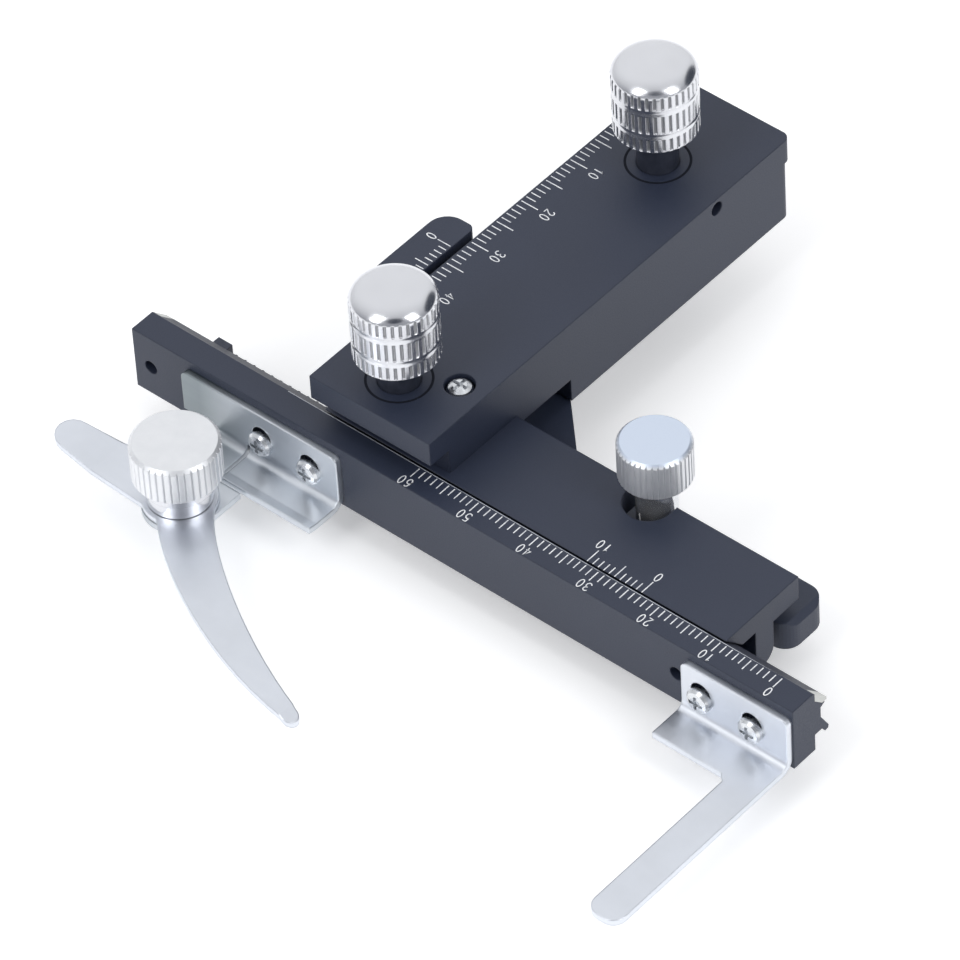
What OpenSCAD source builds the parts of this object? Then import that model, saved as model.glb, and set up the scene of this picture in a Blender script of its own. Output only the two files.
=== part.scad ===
// Attachable mechanical stage for a microscope: an L-shaped base with a thumbscrew, a carriage that
// runs along Y on a dovetail rail, and a bar that runs along X and holds a slide between two fingers.
// Origin: axis of the thumbscrew on the plane that the base sits on. +Y points to the rear, +Z up.

/* [Base plate] */
// Thickness of the base plate
base_t = 4.6; // [4:0.1:5.2]
// Thumbscrew axis to the front edge of the base
base_front = 3.9; // [3.6:0.1:4.1]
// Width of the front bar of the base
base_w = 8; // [7.6:0.1:10]
// Thumbscrew axis to the right end of the base
base_right = 24.5; // [20:0.5:34]
// Thumbscrew axis to the left end of the base
base_left = 50.4; // [49.5:0.1:56]
// Length along Y of the foot under the vernier arm
foot_len = 21.2; // [20.5:0.1:26]
// Width of the rear leg under the rail
leg_w = 14.5; // [13.8:0.1:17]
// Thumbscrew axis to the rear end of the leg
leg_reach = 47.2; // [42:0.1:56]
// Size of the slanted inner corner
gusset = 9.9; // [5:0.1:14]
// Radius of the rounded right corners
base_corner_r = 2.5; // [1:0.1:3.5]
// Bevel of the top edge at the right end
base_bevel = 0.8; // [0.3:0.1:1.5]
// Height of the moving parts over the seating plane
skim = 0.3; // [0.2:0.05:0.6]

/* [Thumbscrew and pins] */
// Diameter of the screw thread
thread_d = 5; // [4:0.1:5.4]
// How far the thread stands out below the base
thread_out = 5; // [3:0.5:9]
// Diameter of the shank inside the base
shank_d = 4.2; // [3.6:0.1:4.4]
// Gap between the thread, or a pin's thick part, and the base's underside
under_relief = 0.3; // [0.2:0.05:0.4]
// Diameter of the stem above the base
stem_d = 5.7; // [5.5:0.1:6.2]
// Diameter of the knurled head
head_d = 10; // [8:0.1:12]
// Height of the head's underside over the seating plane
head_z = 14.2; // [12:0.1:20]
// Height of the head
head_h = 6.3; // [4:0.1:9]
// Number of flutes round the head
head_flutes = 40; // [24:1:48]
// Depth of the flutes round the head
head_flute = 0.3; // [0.2:0.05:0.35]
// Bevel of both edges of the head
head_bevel = 0.5; // [0.3:0.1:0.8]
// Diameter of a locating pin
pin_d = 3; // [2:0.1:4]
// Diameter of a locating pin's root in the base
pin_root_d = 2.6; // [1.8:0.1:2.7]
// Gap round a locating pin's thick part at the base's underside
pin_mouth = 0.25; // [0.1:0.05:0.6]
// How far a locating pin stands out below the base
pin_out = 2; // [1:0.1:4]
// How deep a locating pin sits in the base
pin_in = 2.6; // [2:0.1:3.4]
// Thumbscrew axis to each locating pin
pin_span = 16; // [10:0.5:19]

/* [Rail] */
// Width of the rail's neck
rail_neck_w = 10.8; // [10:0.1:11.2]
// Width of the rail's head
rail_head_w = 12.8; // [12.4:0.1:13.4]
// Height of the rail
rail_h = 3.8; // [3.4:0.1:4]
// Thumbscrew axis to the front end of the rail
rail_front = 1.6; // [1.5:0.1:4]
// Rear end of the rail short of the leg's end
rail_setback = 0.2; // [0.1:0.1:1]

/* [Carriage] */
// Thumbscrew axis to the axes of the knob shafts
carriage_x = 34.3; // [33:0.1:36]
// Shaft axes to the carriage's left side
carriage_left_w = 9.5; // [9.2:0.1:10]
// Shaft axes to the carriage's right side
carriage_right_w = 10.9; // [9.6:0.1:12]
// Thumbscrew axis to the front edge of the carriage's top
carriage_front = 16.9; // [15.5:0.1:18.5]
// Rear shaft's axis to the rear end of the carriage
carriage_tail = 14.4; // [11:0.1:20]
// Height of the carriage's top over the seating plane
carriage_top = 18.5; // [18:0.1:20]
// Thickness of the top slab where it hangs over the guide
slab_t = 3.9; // [3.5:0.1:5]
// Thumbscrew axis to the front of the body under the slab
body_front = 13.3; // [12.5:0.1:14.4]
// Inset of the body under the slab at the rear
body_inset = 0.6; // [0.1:0.1:1]
// Thumbscrew axis to the step in the body's underside
body_step = 10.5; // [9.5:0.1:13]
// Radius of the carriage's rear corners
carriage_corner_r = 1.3; // [0.5:0.1:3]
// Gap between the carriage's underside and the base
under_gap = 0.4; // [0.2:0.1:0.6]
// Half width of the pocket over the rail
pocket_half = 5.5; // [5.4:0.1:6]
// Height of the pocket over the rail's top
pocket_h = 3.7; // [3.6:0.1:4]

/* [Guide plate] */
// Thumbscrew axis to the right end of the guide plate
guide_right = 23.4; // [18:0.1:30]
// Thumbscrew axis to the guide plate's front edge
guide_front = 14.6; // [14.5:0.1:14.7]
// Thumbscrew axis to the guide plate's rear edge
guide_rear = 0.2; // [0.2:0.1:1]
// Thickness of the guide plate in front of its leg
guide_t = 3.2; // [3.1:0.1:3.4]
// Thickness of the guide plate behind its leg
guide_rear_t = 4; // [3.5:0.1:5]
// Thickness of the guide's leg
guide_leg_t = 3.55; // [3:0.05:3.8]
// Thumbscrew axis to the rear face of the guide's leg
guide_leg_rear = 5.3; // [5.2:0.1:5.8]
// Radius of the leg's lower rear corner
guide_corner_r = 2.5; // [0.5:0.1:3]
// Thickness of the lower jaw
jaw_t = 1.6; // [1.5:0.05:1.8]
// Thumbscrew axis to the front of the lower jaw
jaw_front = 14.5; // [14.4:0.1:14.6]
// Width of the bead on the jaw
bead_w = 1; // [0.8:0.05:1.1]
// Height of the bead on the jaw
bead_h = 1; // [0.8:0.05:1.1]
// Half width of the notch round the thumbscrew
notch_half = 3.5; // [3.3:0.1:5]
// Thumbscrew axis to the centre of the notch's round end
notch_centre = 1.6; // [1.5:0.1:1.7]

/* [Bar] */
// Length of the bar
bar_len = 111.5; // [108:0.5:120]
// Thumbscrew axis to the right end of the bar
bar_right = 37.7; // [36:0.1:42]
// Thumbscrew axis to the bar's front face
bar_front = 18.9; // [18.8:0.1:20]
// Height of the bar
bar_h = 10.3; // [10.2:0.1:10.4]
// Width of the bar's top face
bar_top_w = 4; // [3.9:0.1:4.1]
// Run of the slanted face behind the bar's top face
lip_run = 2.6; // [2.5:0.05:2.7]
// Height of the lip's edge
lip_edge = 0.4; // [0.3:0.05:0.5]
// Thickness of the slide strip on the slanted face, measured upright
strip_t = 1.27; // [0.8:0.01:1.4]
// Distance of the slide strip from the bar's top face
strip_inset = 0.3; // [0.2:0.05:0.6]
// Thickness of the bar between the racks' level and its front
bar_web = 5.4; // [5.2:0.1:5.6]
// Depth of the bar from its front face to the hook's nose
hook_depth = 6.9; // [6.7:0.05:7]
// Height of the hook's nose
hook_nose = 0.6; // [0.4:0.05:0.8]
// Height of the hook's upper slope
hook_slope = 2.6; // [2.2:0.1:2.6]
// Taper of the hook's inner face
hook_taper = 0.6; // [0.4:0.05:0.8]
// Diameter of the spare threaded holes in the bar's front
spare_hole_d = 2.1; // [1.6:0.1:2.6]
// Depth of the holes in the bar's front
front_hole_deep = 3.6; // [3:0.1:3.9]
// Height of the spare holes over the seating plane
spare_hole_z = 5.2; // [4:0.1:7]
// Left end of the bar to the left spare hole
spare_left_in = 2.9; // [2:0.1:4]
// Right bracket to the right spare hole
spare_right_in = 1.6; // [1.5:0.1:3]

/* [Racks and pinions] */
// Module of the teeth
gear_module = 0.5; // [0.49:0.005:0.51]
// Teeth of each pinion
pinion_teeth = 9; // [9:1:9]
// Pressure angle of the teeth in degrees
pressure_angle = 20; // [18:1:22]
// Backlash on each side of a tooth
backlash = 0.06; // [0.03:0.01:0.08]
// Height of the bar's rack strip
x_rack_h = 2.2; // [2:0.05:2.3]
// Bar front to the pitch line of its rack
x_pitch_reach = 6.49; // [6.45:0.01:6.52]
// Drop of the bar rack's lugs below its teeth
lug_drop = 0.5; // [0.45:0.05:0.7]
// Depth of the bar's rack strip below its teeth
x_rack_seat = 1.17; // [1:0.01:1.3]
// Height of the rail's rack strip
y_rack_h = 3.2; // [2.8:0.1:3.3]
// Width of the rail's rack strip below its teeth
y_rack_seat = 2.23; // [1.8:0.01:2.3]
// Thickness of the end lugs of both racks
lug_t = 2.4; // [2.2:0.1:3]
// Reach of the lugs past the pitch line
lug_reach = 1.9; // [1.5:0.05:2]
// Clearance between a lug and the pinion at the end of the travel
stop_gap = 0.35; // [0.3:0.05:0.5]
// Travel of the bar to the left from the pose shown
x_travel_left = 23.4; // [15:0.1:23.5]
// Travel of the bar to the right from the pose shown
x_travel_right = 26.5; // [15:0.1:26.6]
// Thumbscrew axis to the front end of the rail rack's teeth
y_rack_front = 6.4; // [6.3:0.1:18]
// Travel of the carriage to the rear from the pose shown
y_travel_rear = 1; // [0.5:0.1:1]
// Diameter of the rack screws
rack_screw_d = 1.2; // [1:0.1:1.4]
// Depth of the bar rack's screws from the face of the lugs
rack_screw_deep = 5.2; // [4.8:0.1:5.4]
// End of the rail rack's teeth to its nearest screw
rack_screw_in = 4; // [2:0.5:8]
// Room round the front pinion, on the radius
pinion_room = 0.25; // [0.2:0.05:0.3]

/* [Shafts and knobs] */
// Rear shaft's axis to the rear end of the leg
rear_shaft_in = 5.4; // [5.3:0.1:9]
// Diameter of the shafts
shaft_d = 5.7; // [5.6:0.05:5.75]
// Running clearance round the shafts, on the radius
run_gap = 0.05; // [0.03:0.01:0.08]
// Outer diameter of the bushes
bush_d = 8.6; // [8:0.1:9]
// Length of the bushes
bush_len = 3.1; // [2.8:0.1:3.3]
// Diameter of the collar on each shaft
collar_d = 8.2; // [7.4:0.1:8.4]
// Thickness of the collar on each shaft
collar_t = 1.2; // [0.8:0.1:1.3]
// Axial play on each side of the collar
collar_play = 0.3; // [0.2:0.05:0.4]
// Diameter of the front shaft's lower journal
journal_d = 3; // [2.6:0.1:3.1]
// Depth of the journal's hole in the lower jaw
journal_deep = 1.1; // [0.8:0.05:1.2]
// Diameter of the front shaft's neck
neck_d = 3; // [2.6:0.1:3.1]
// Height of the front pinion's underside over the seating plane
x_pinion_z = 5.1; // [5:0.05:5.2]
// Height of the front pinion
x_pinion_h = 2.2; // [2.1:0.05:2.25]
// Height of the neck over the front pinion
neck_h = 1.8; // [1.7:0.05:2]
// Height of the front knob's underside over the carriage
x_knob_lift = 5.1; // [4:0.1:8]
// Height of the rear knob's underside over the carriage
y_knob_lift = 6.5; // [5:0.1:10]
// Diameter of the knobs
knob_d = 11.7; // [10:0.1:13]
// Height of the lower knurled band
band_low = 2.75; // [2:0.05:4]
// Height of the middle knurled band
band_mid = 3.4; // [2:0.05:4]
// Height of the upper knurled band
band_top = 2.4; // [2:0.05:4]
// Height of the grooves between the bands
band_groove = 0.65; // [0.4:0.05:1.2]
// Depth of the grooves between the bands
groove_deep = 0.4; // [0.35:0.05:0.8]
// Height of the plain top of the knobs
cap_h = 1.9; // [1.9:0.1:3]
// Radius of the rounded top edge
cap_r = 1.8; // [0.6:0.1:1.9]
// Bevel of the knobs' lower edge
knob_bevel = 0.4; // [0.2:0.1:0.6]
// Number of flutes round a knob
knob_flutes = 44; // [24:1:46]
// Depth of the flutes
flute_deep = 0.3; // [0.2:0.05:0.35]
// Width of the flutes
flute_w = 0.4; // [0.3:0.05:0.45]
// How far the flutes run up past the upper band
flute_run = 0.7; // [0.2:0.1:0.9]
// Depth of the shaft's seat in the knobs
knob_seat = 7; // [5:0.5:9]

/* [Vernier arm] */
// Width of the vernier arm
arm_w = 5.4; // [5:0.1:5.5]
// Thumbscrew axis to the front end of the vernier arm
arm_front = 1.5; // [0.5:0.1:3]
// Radius of the arm's outer rear corner
arm_corner_big = 3; // [1:0.1:4]
// Radius of the arm's inner rear corner
arm_corner_small = 1; // [0.4:0.1:1.2]

/* [Brackets] */
// Thickness of the bracket sheet
sheet_t = 1; // [0.8:0.05:1.1]
// Inner radius of the brackets' bend
bend_r = 1.2; // [0.8:0.1:1.3]
// Height of the brackets' top edge over the seating plane
plate_top = 9.3; // [9.2:0.1:10.3]
// Radius of the plates' upper corners
plate_corner_r = 1; // [0.5:0.1:1.5]
// Bar front to the front edge of the flanges
flange_reach = 6.9; // [6.5:0.1:7.1]
// Thumbscrew axis to the right bracket's left edge
right_plate_x = 20.3; // [19.9:0.1:21]
// Width of the right bracket
right_plate_w = 17.2; // [16.8:0.1:18]
// Width of the fixed finger
finger_w = 5; // [4.5:0.1:6]
// Bar front to the tip of the fixed finger
finger_reach = 34.6; // [28:0.1:40]
// Thumbscrew axis to the left bracket's left edge
left_plate_x = 64.4; // [64:0.1:66]
// Width of the left bracket
left_plate_w = 27; // [26.5:0.1:27.5]
// Width of the left bracket's flange right of the slit
left_flange_w = 15.4; // [15:0.1:15.8]
// Width of the slit between flange and tab
slit_w = 0.5; // [0.3:0.05:0.8]
// Height of the raised edge along the left flange
edge_lip = 0.25; // [0.2:0.05:0.8]
// Width of the tab
tab_w = 10.4; // [10:0.1:11]
// Height of the bracket screws over the seating plane
clip_screw_z = 4.6; // [4.5:0.05:5.2]
// Distance between the two screws of a bracket
clip_screw_span = 8.3; // [8:0.1:8.8]
// Right bracket's left edge to its first screw
clip_screw_edge = 3.2; // [3:0.1:4]
// Left bracket's left edge to its first screw
left_screw_edge = 13.9; // [13.5:0.1:15]
// Thread diameter of the bracket screws
clip_screw_d = 2; // [1.6:0.1:2.4]
// Head diameter of the bracket screws
clip_head_d = 3.7; // [3.3:0.1:4]
// Head height of the bracket screws
clip_head_h = 1.2; // [0.9:0.1:1.6]
// Width of the upright slots for the bracket screws
clip_slot_w = 3.2; // [2.5:0.1:3.25]
// How far the slots reach up past the screws
clip_slot_up = 1; // [0.5:0.1:1.6]

/* [Lever] */
// Bar front to the lever's pivot
pivot_reach = 13.2; // [12.8:0.1:13.6]
// Thumbscrew axis to the lever's pivot
pivot_x = 54.1; // [53.8:0.1:54.6]
// Pivot to the lever's tip along X
lever_span = 38.2; // [30:0.1:44]
// Pivot to the lever's tip along Y
lever_drop = 21.3; // [17:0.1:26]
// Thickness of the lever
lever_t = 0.9; // [0.7:0.05:1.1]
// Radius of the lever's hub
lever_hub_r = 5.1; // [4.6:0.1:5.3]
// Pivot to the end of the thumb arm
thumb_len = 20.4; // [16:0.1:21]
// Width of the thumb arm
thumb_w = 5.2; // [4:0.1:5.8]
// Length of the upturned end of the thumb arm
thumb_bend = 8; // [4:0.5:9]
// Rise of the thumb arm's end
thumb_rise = 1.4; // [0.5:0.1:2.5]
// Length of the downturned tip
tip_bend = 2.2; // [1:0.1:3]
// Fall of the downturned tip
tip_fall = 1; // [0.4:0.05:1.05]
// Gap between flat faces that slide on each other
face_gap = 0.1; // [0.05:0.01:0.15]
// Clearance of the sliding guides
slide_gap = 0.2; // [0.15:0.01:0.22]
// Diameter of the pivot stud
stud_d = 3; // [2.6:0.1:3.2]
// Diameter of the stud's head under the tab
stud_head_d = 5; // [4.2:0.1:6]
// Height of the stud's head
stud_head_h = 0.4; // [0.3:0.05:0.6]
// Diameter of the pivot collar
hub_d = 8.9; // [8.6:0.1:9.4]
// Height of the pivot collar
hub_h = 3.9; // [3.8:0.1:5]
// Diameter of the pivot collar's upper rim
rim_d = 9.9; // [9.2:0.1:11]
// Height of the pivot collar's upper rim
rim_h = 1.4; // [0.8:0.1:2]
// Wall of the collar's top
hub_wall = 0.9; // [0.6:0.1:0.9]
// Diameter of the collar's hollow
hub_hollow_d = 7; // [6.8:0.1:7.2]
// Diameter of the pivot knob
nut_d = 12.2; // [10:0.1:13]
// Height of the pivot knob
nut_h = 6; // [4:0.1:8]
// Number of flutes round the pivot knob
nut_flutes = 40; // [20:1:44]
// Depth of the flutes round the pivot knob
nut_flute = 0.3; // [0.2:0.05:0.35]
// Thickness left over the stud in the pivot knob
nut_roof = 1.4; // [1:0.1:2]
// Diameter of the spring's wire
wire_d = 0.5; // [0.4:0.05:0.52]
// Mean diameter of the spring's coil
coil_d = 5.4; // [5:0.1:5.6]
// Turns of the spring's coil
coil_turns = 2.5; // [1.5:0.25:2.5]
// Rise of the coil for each turn
coil_pitch = 0.94; // [0.92:0.01:0.96]

/* [Screws] */
// Front shaft's axis to the left guide screw
guide_screw_left = 6.3; // [6.1:0.1:6.5]
// Front shaft's axis to the right guide screw
guide_screw_right = 6.9; // [6.3:0.1:7.5]
// Thumbscrew axis to the guide screws
guide_screw_y = 6.25; // [6:0.05:6.6]
// Thread diameter of the guide screws
guide_screw_d = 2.4; // [2:0.1:2.8]
// Head diameter of the guide screws
guide_head_d = 3.7; // [3.2:0.1:3.9]
// Head height of the guide screws
guide_head_h = 1.8; // [1.6:0.1:2.4]
// Diameter of the counterbores for the guide screws
counterbore_d = 4.2; // [4:0.1:4.5]
// Depth of the counterbores
counterbore_deep = 1.7; // [1.5:0.1:3]
// Depth of the guide screws in the guide plate
guide_screw_deep = 3; // [2:0.1:3.1]
// Thread diameter of the screws from below
low_screw_d = 2.5; // [2:0.1:3]
// Head diameter of the screws from below
low_head_d = 4.6; // [4:0.1:5]
// Thread length of the screws from below in the piece they hold
low_screw_deep = 3; // [2:0.1:3.2]
// Depth of those heads below the base's underside
low_head_in = 0.3; // [0.2:0.1:0.5]
// Depth of the counterbores for those heads
low_head_h = 1.8; // [1.4:0.1:2.2]
// End of the arm to its nearest screw
arm_screw_in = 4.5; // [3:0.5:6]
// End of the rail to its nearest screw
rail_screw_in = 6; // [4:0.5:8]
// Diameter of the side set screw
set_screw_d = 2; // [1.6:0.1:2.2]
// Length of the side set screw
set_screw_len = 3.6; // [2.5:0.1:4.5]
// Depth of the set screw's hole from the bush outwards
set_screw_deep = 9; // [8:0.5:12]
// Height of the side set screw under the carriage's top
set_screw_drop = 1.6; // [1.4:0.1:1.7]
// Rear shaft axis to the side set screw along Y
set_screw_shift = 1.1; // [0:0.1:1.5]
// Clearance round fixed screws, on the radius
screw_gap = 0.05; // [0.03:0.01:0.1]
// Width of a driver slot or cross
driver_w = 0.5; // [0.3:0.05:0.7]
// Depth of a driver slot or cross
driver_deep = 0.5; // [0.3:0.05:0.7]

/* [Hidden] */
$fn = 24;
// Overrun of the cuts
over = 0.5;
// Colours
black_metal = "#4b4e5a";
bright_metal = "#d8dade";
rack_metal = "#5a5d68";
sheet_metal = "#cfd3d3";
satin_metal = "#e6e7ea";
// Levels
rail_top = base_t + rail_h;
pocket_top = rail_top + pocket_h;
bar_top = skim + bar_h;
guide_top = bar_top;
guide_low = guide_top - guide_t;
jaw_top = skim + jaw_t;
slab_z = carriage_top - slab_t;
bush_z = carriage_top - bush_len;
collar_z = bush_z - collar_play - collar_t;
shelf_z = collar_z - collar_play;
sheet_top = skim + sheet_t;
x_knob_z = carriage_top + x_knob_lift;
y_knob_z = carriage_top + y_knob_lift;
// Places of the main lines
cx = -carriage_x;
carriage_left = cx - carriage_left_w;
carriage_right = cx + carriage_right_w;
carriage_w = carriage_right - carriage_left;
y_shaft_y = leg_reach - rear_shaft_in;
carriage_rear = y_shaft_y + carriage_tail;
leg_y = -guide_leg_rear;
leg_front_y = leg_y - guide_leg_t;
bar_y = -bar_front;
bar_left = bar_right - bar_len;
base_rear = base_w - base_front;
base_mid = base_rear / 2 - base_front / 2;
rail_rear = leg_reach - rail_setback;
pocket_y = rail_front - y_travel_rear - stop_gap;
// Teeth
tooth_pitch = PI * gear_module;
pinion_r = gear_module * pinion_teeth / 2;
root_share = 1.25;
cutter_share = 1.2;
addendum = gear_module;
dedendum = gear_module * root_share;
cutter_add = gear_module * cutter_share;
pinion_tip = pinion_r + addendum;
tooth_half = tooth_pitch / 4;
flank = tan(pressure_angle);
cut_steps = 9;
cut_angle = 63;
x_pitch_y = bar_y + x_pitch_reach;
x_shaft_y = x_pitch_y + pinion_r;
x_rack_top = bar_top - lip_run;
x_rack_z = x_rack_top - lip_edge - x_rack_h;
y_pitch_x = cx - pinion_r;
stop_room = pinion_tip + stop_gap;
y_travel_front = y_shaft_y - stop_room - y_rack_front;
x_lug_z = x_rack_h - lug_drop;
rack_head_share = 1.35;
rack_head_d = rack_screw_d * rack_head_share;
// Bores round the front pinion and under the collars
pinion_bore_d = pinion_tip * 2 + pinion_room * 2;
shaft_bore_d = shaft_d + run_gap * 4;
bush_bore_d = bush_d + screw_gap * 2;
// Slots and screws of the brackets
right_screws_x = right_plate_x + clip_screw_edge;
left_screws_x = left_screw_edge - left_plate_x;
flange_y = bar_y - flange_reach;
bend_out = bend_r + sheet_t;
left_plate_right = left_plate_w - left_plate_x;
left_flange_x = left_plate_right - left_flange_w;
// Lever
pivot_y = bar_y - pivot_reach;
lever_z = sheet_top + face_gap;
hub_z = lever_z + lever_t + face_gap;
nut_z = hub_z + hub_h + face_gap;
lever_top = lever_z + thumb_rise + lever_t;
// Lever outline from the pivot: shares of the lever's span and drop
outer_shares = [[0.012, 0.24], [0.182, 0.534], [0.572, 0.914], [0.965, 1]];
inner_shares = [[0.968, 0.89], [0.636, 0.676], [0.266, 0.254], [0.135, -0.042]];
tip_share = 0.055;
tip_reach_share = 0.9665;
// Angles of the arcs in outlines
tip_angle = 75;
hub_front_angles = [235, 265];
hub_rear_angles = [15, 125];
cap_end_angle = 80;
curve_steps = 14;
// Rail profile: shares of the rail's height
land_share = 0.18;
head_share = 0.66;

function bezier(p, t) = p[0] * pow(1 - t, 3) + p[1] * 3 * t * pow(1 - t, 2)
                      + p[2] * 3 * t * t * (1 - t) + p[3] * pow(t, 3);
function curve(p) = [for (i = [0:curve_steps]) bezier(p, i / curve_steps)];
function arc(c, r, from, to, n = 8) =
  [for (i = [0:n]) let (a = from + (to - from) * i / n) c + r * [cos(a), sin(a)]];
function rail_points(gap, low) = let (
    neck = rail_neck_w / 2 + gap,
    head = rail_head_w / 2 + gap,
    z1 = base_t + rail_h * land_share,
    z2 = base_t + rail_h * head_share)
  [[-neck, low], [-neck, z1], [-head, z2], [-head, rail_top + gap],
   [head, rail_top + gap], [head, z2], [neck, z1], [neck, low]];

module rod(d, low, high) {
  translate([0, 0, low]) cylinder(h = high - low, d = d);
}

module along_x(from, length) {
  translate([from, 0, 0]) rotate([90, 0, 90]) linear_extrude(length) children();
}

module along_y(from, length) {
  translate([0, from + length, 0]) rotate([90, 0, 0]) linear_extrude(length) children();
}

module slab(low, high) {
  translate([0, 0, low]) linear_extrude(high - low) children();
}

module flutes(count, d, deep, wide, low, high) {
  for (i = [0:count - 1]) {
    rotate(i * 360 / count) translate([d / 2, 0, 0]) slab(low, high)
      polygon([[-deep, 0], [deep, wide], [deep, -wide]]);
  }
}

// A tooth of the rack that cuts the pinions, pointing to +Y
module tooth(half, add) {
  low = half + dedendum * flank;
  polygon([[-low, -dedendum], [-half + add * flank, add], [half - add * flank, add], [low, -dedendum]]);
}

// Outline of a rack with its pitch line on Y = 0, a tooth space at X = 0 and a lug at each end
function rack_points(left, right, seat, lug_left, lug_right, reach) = let (
    half = tooth_half - backlash,
    low = half + dedendum * flank,
    top = half - addendum * flank,
    first = ceil((low - left) / tooth_pitch - 0.5),
    last = floor((right - low) / tooth_pitch - 0.5))
  concat(
    [[-left - lug_left, -dedendum - seat], [-left - lug_left, reach], [-left, reach], [-left, -dedendum]],
    [for (k = [first:last], q = [[-low, -dedendum], [-top, addendum], [top, addendum], [low, -dedendum]])
      q + [(k + 0.5) * tooth_pitch, 0]],
    [[right, -dedendum], [right, reach], [right + lug_right, reach], [right + lug_right, -dedendum - seat]]);

// The space between two pinion teeth, cut by the rack that rolls along it
module tooth_space() {
  for (s = [-cut_steps:cut_steps]) {
    turn = cut_angle * s / cut_steps;
    rotate(-turn) translate([-pinion_r * turn * PI / 180, pinion_r]) mirror([0, 1])
      tooth(tooth_half, cutter_add);
  }
}

// A pinion with one tooth pointing to +Y
module pinion_2d() {
  difference() {
    circle(r = pinion_tip);
    for (k = [0:pinion_teeth - 1]) {
      rotate((k + 0.5) * 360 / pinion_teeth) tooth_space();
    }
  }
}

// A screw along +Z with its head on Z = 0 and a cross in its top
module pan_screw(d, length, head, high) {
  rod(d, -length, 0);
  difference() {
    rotate_extrude() polygon([[0, 0], [head / 2, 0], [head / 2, high / 2], [head * 0.42, high * 0.8],
                              [head * 0.25, high], [0, high]]);
    for (a = [0, 90]) {
      rotate(a) translate([-head * 0.3, -driver_w / 2, high - driver_deep])
        cube([head * 0.6, driver_w, driver_deep + over]);
    }
  }
}

// A screw from below the base
module low_screw() {
  rod(low_screw_d, 0 + low_head_h, base_t + low_screw_deep);
  difference() {
    rod(low_head_d, low_head_in, low_head_h + screw_gap);
    translate([-low_head_d / 2 - over, -driver_w / 2, low_head_in - over])
      cube([low_head_d + over * 2, driver_w, driver_deep + over]);
  }
}

module low_screw_hole() {
  rod(low_screw_d + screw_gap * 2, -over, base_t + over);
  rod(low_head_d + screw_gap * 4, -over, low_head_h + screw_gap);
}

module at_arm_screws() {
  for (y = [arm_screw_in - arm_front, foot_len - base_front - arm_screw_in]) {
    translate([arm_w / 2 - base_left, y, 0]) children();
  }
}

module at_rail_screws() {
  for (k = [0:2]) {
    translate([cx, rail_front + rail_screw_in + (rail_rear - rail_front - rail_screw_in * 2) * k / 2, 0])
      children();
  }
}

module at_pins() {
  for (s = [-1, 1]) {
    translate([s * pin_span, base_mid, 0]) children();
  }
}

module at_guide_screws() {
  for (x = [-guide_screw_left, guide_screw_right]) {
    translate([cx + x, -guide_screw_y, 0]) children();
  }
}

module at_pivot() {
  translate([-pivot_x, pivot_y, 0]) children();
}

module base_plate() {
  foot_rear = foot_len - base_front;
  leg_left = cx - leg_w / 2;
  leg_right = cx + leg_w / 2;
  color(black_metal) difference() {
    slab(0, base_t) polygon(concat(
      [[-base_left, -base_front]],
      arc([base_right - base_corner_r, base_corner_r - base_front], base_corner_r, -90, 0),
      arc([base_right - base_corner_r, base_rear - base_corner_r], base_corner_r, 0, 90),
      [[leg_right + gusset, base_rear], [leg_right, base_rear + gusset], [leg_right, leg_reach],
       [leg_left, leg_reach], [leg_left, foot_rear], [-base_left, foot_rear]]));
    along_y(-base_front - over, base_w + over * 2) polygon([[base_right - base_bevel, base_t + over],
      [base_right - base_bevel, base_t], [base_right, base_t - base_bevel],
      [base_right + over, base_t - base_bevel], [base_right + over, base_t + over]]);
    rod(thread_d + run_gap * 2, -over, base_t + over);
    at_pins() {
      rod(pin_root_d + screw_gap, -over, pin_in + screw_gap);
      rod(pin_d + pin_mouth * 2, -over, under_relief);
    }
    at_arm_screws() low_screw_hole();
    at_rail_screws() low_screw_hole();
  }
}

module y_rail() {
  color(bright_metal) difference() {
    translate([cx, 0, 0]) along_y(rail_front, rail_rear - rail_front)
      polygon(rail_points(0, base_t));
    at_rail_screws() rod(low_screw_d + screw_gap, base_t - over, base_t + low_screw_deep + screw_gap);
    at_y_rack_screws() rod(rack_screw_d + screw_gap, rail_top - rack_screw_d, rail_top + over);
  }
}

// Places of the rail rack's screws, on its body beside the teeth
module at_y_rack_screws() {
  front = y_shaft_y - y_travel_front - stop_room;
  rear = y_shaft_y + y_travel_rear + stop_room;
  for (k = [0:2]) {
    translate([y_pitch_x - dedendum - y_rack_seat / 2,
               front + rack_screw_in + (rear - front - rack_screw_in * 2) * k / 2, 0]) children();
  }
}

module y_rack() {
  rear = y_travel_rear + stop_room;
  front = y_travel_front + stop_room;
  color(rack_metal) difference() {
    translate([y_pitch_x, y_shaft_y, 0]) rotate(-90) slab(rail_top, rail_top + y_rack_h)
      polygon(rack_points(rear, front, y_rack_seat, rail_rear - y_shaft_y - rear, lug_t, lug_reach));
    at_y_rack_screws() rod(rack_screw_d + screw_gap * 2, rail_top - over, rail_top + y_rack_h + over);
    at_y_rack_screws() rod(rack_head_d + screw_gap * 2, rail_top + y_rack_h - rack_screw_d,
                           rail_top + y_rack_h + over);
  }
}

module y_rack_screws() {
  top = rail_top + y_rack_h;
  color(bright_metal) at_y_rack_screws() difference() {
    union() {
      rod(rack_screw_d, rail_top - rack_screw_d + screw_gap, top - rack_screw_d + screw_gap * 2);
      rod(rack_head_d, top - rack_screw_d + screw_gap, top - screw_gap);
    }
    translate([-rack_head_d, -rack_screw_d / 8, top - rack_screw_d / 2])
      cube([rack_head_d * 2, rack_screw_d / 4, rack_screw_d]);
  }
}

module rail_screws() {
  color(bright_metal) at_rail_screws() low_screw();
}

module arm_screws() {
  color(bright_metal) at_arm_screws() low_screw();
}

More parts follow.
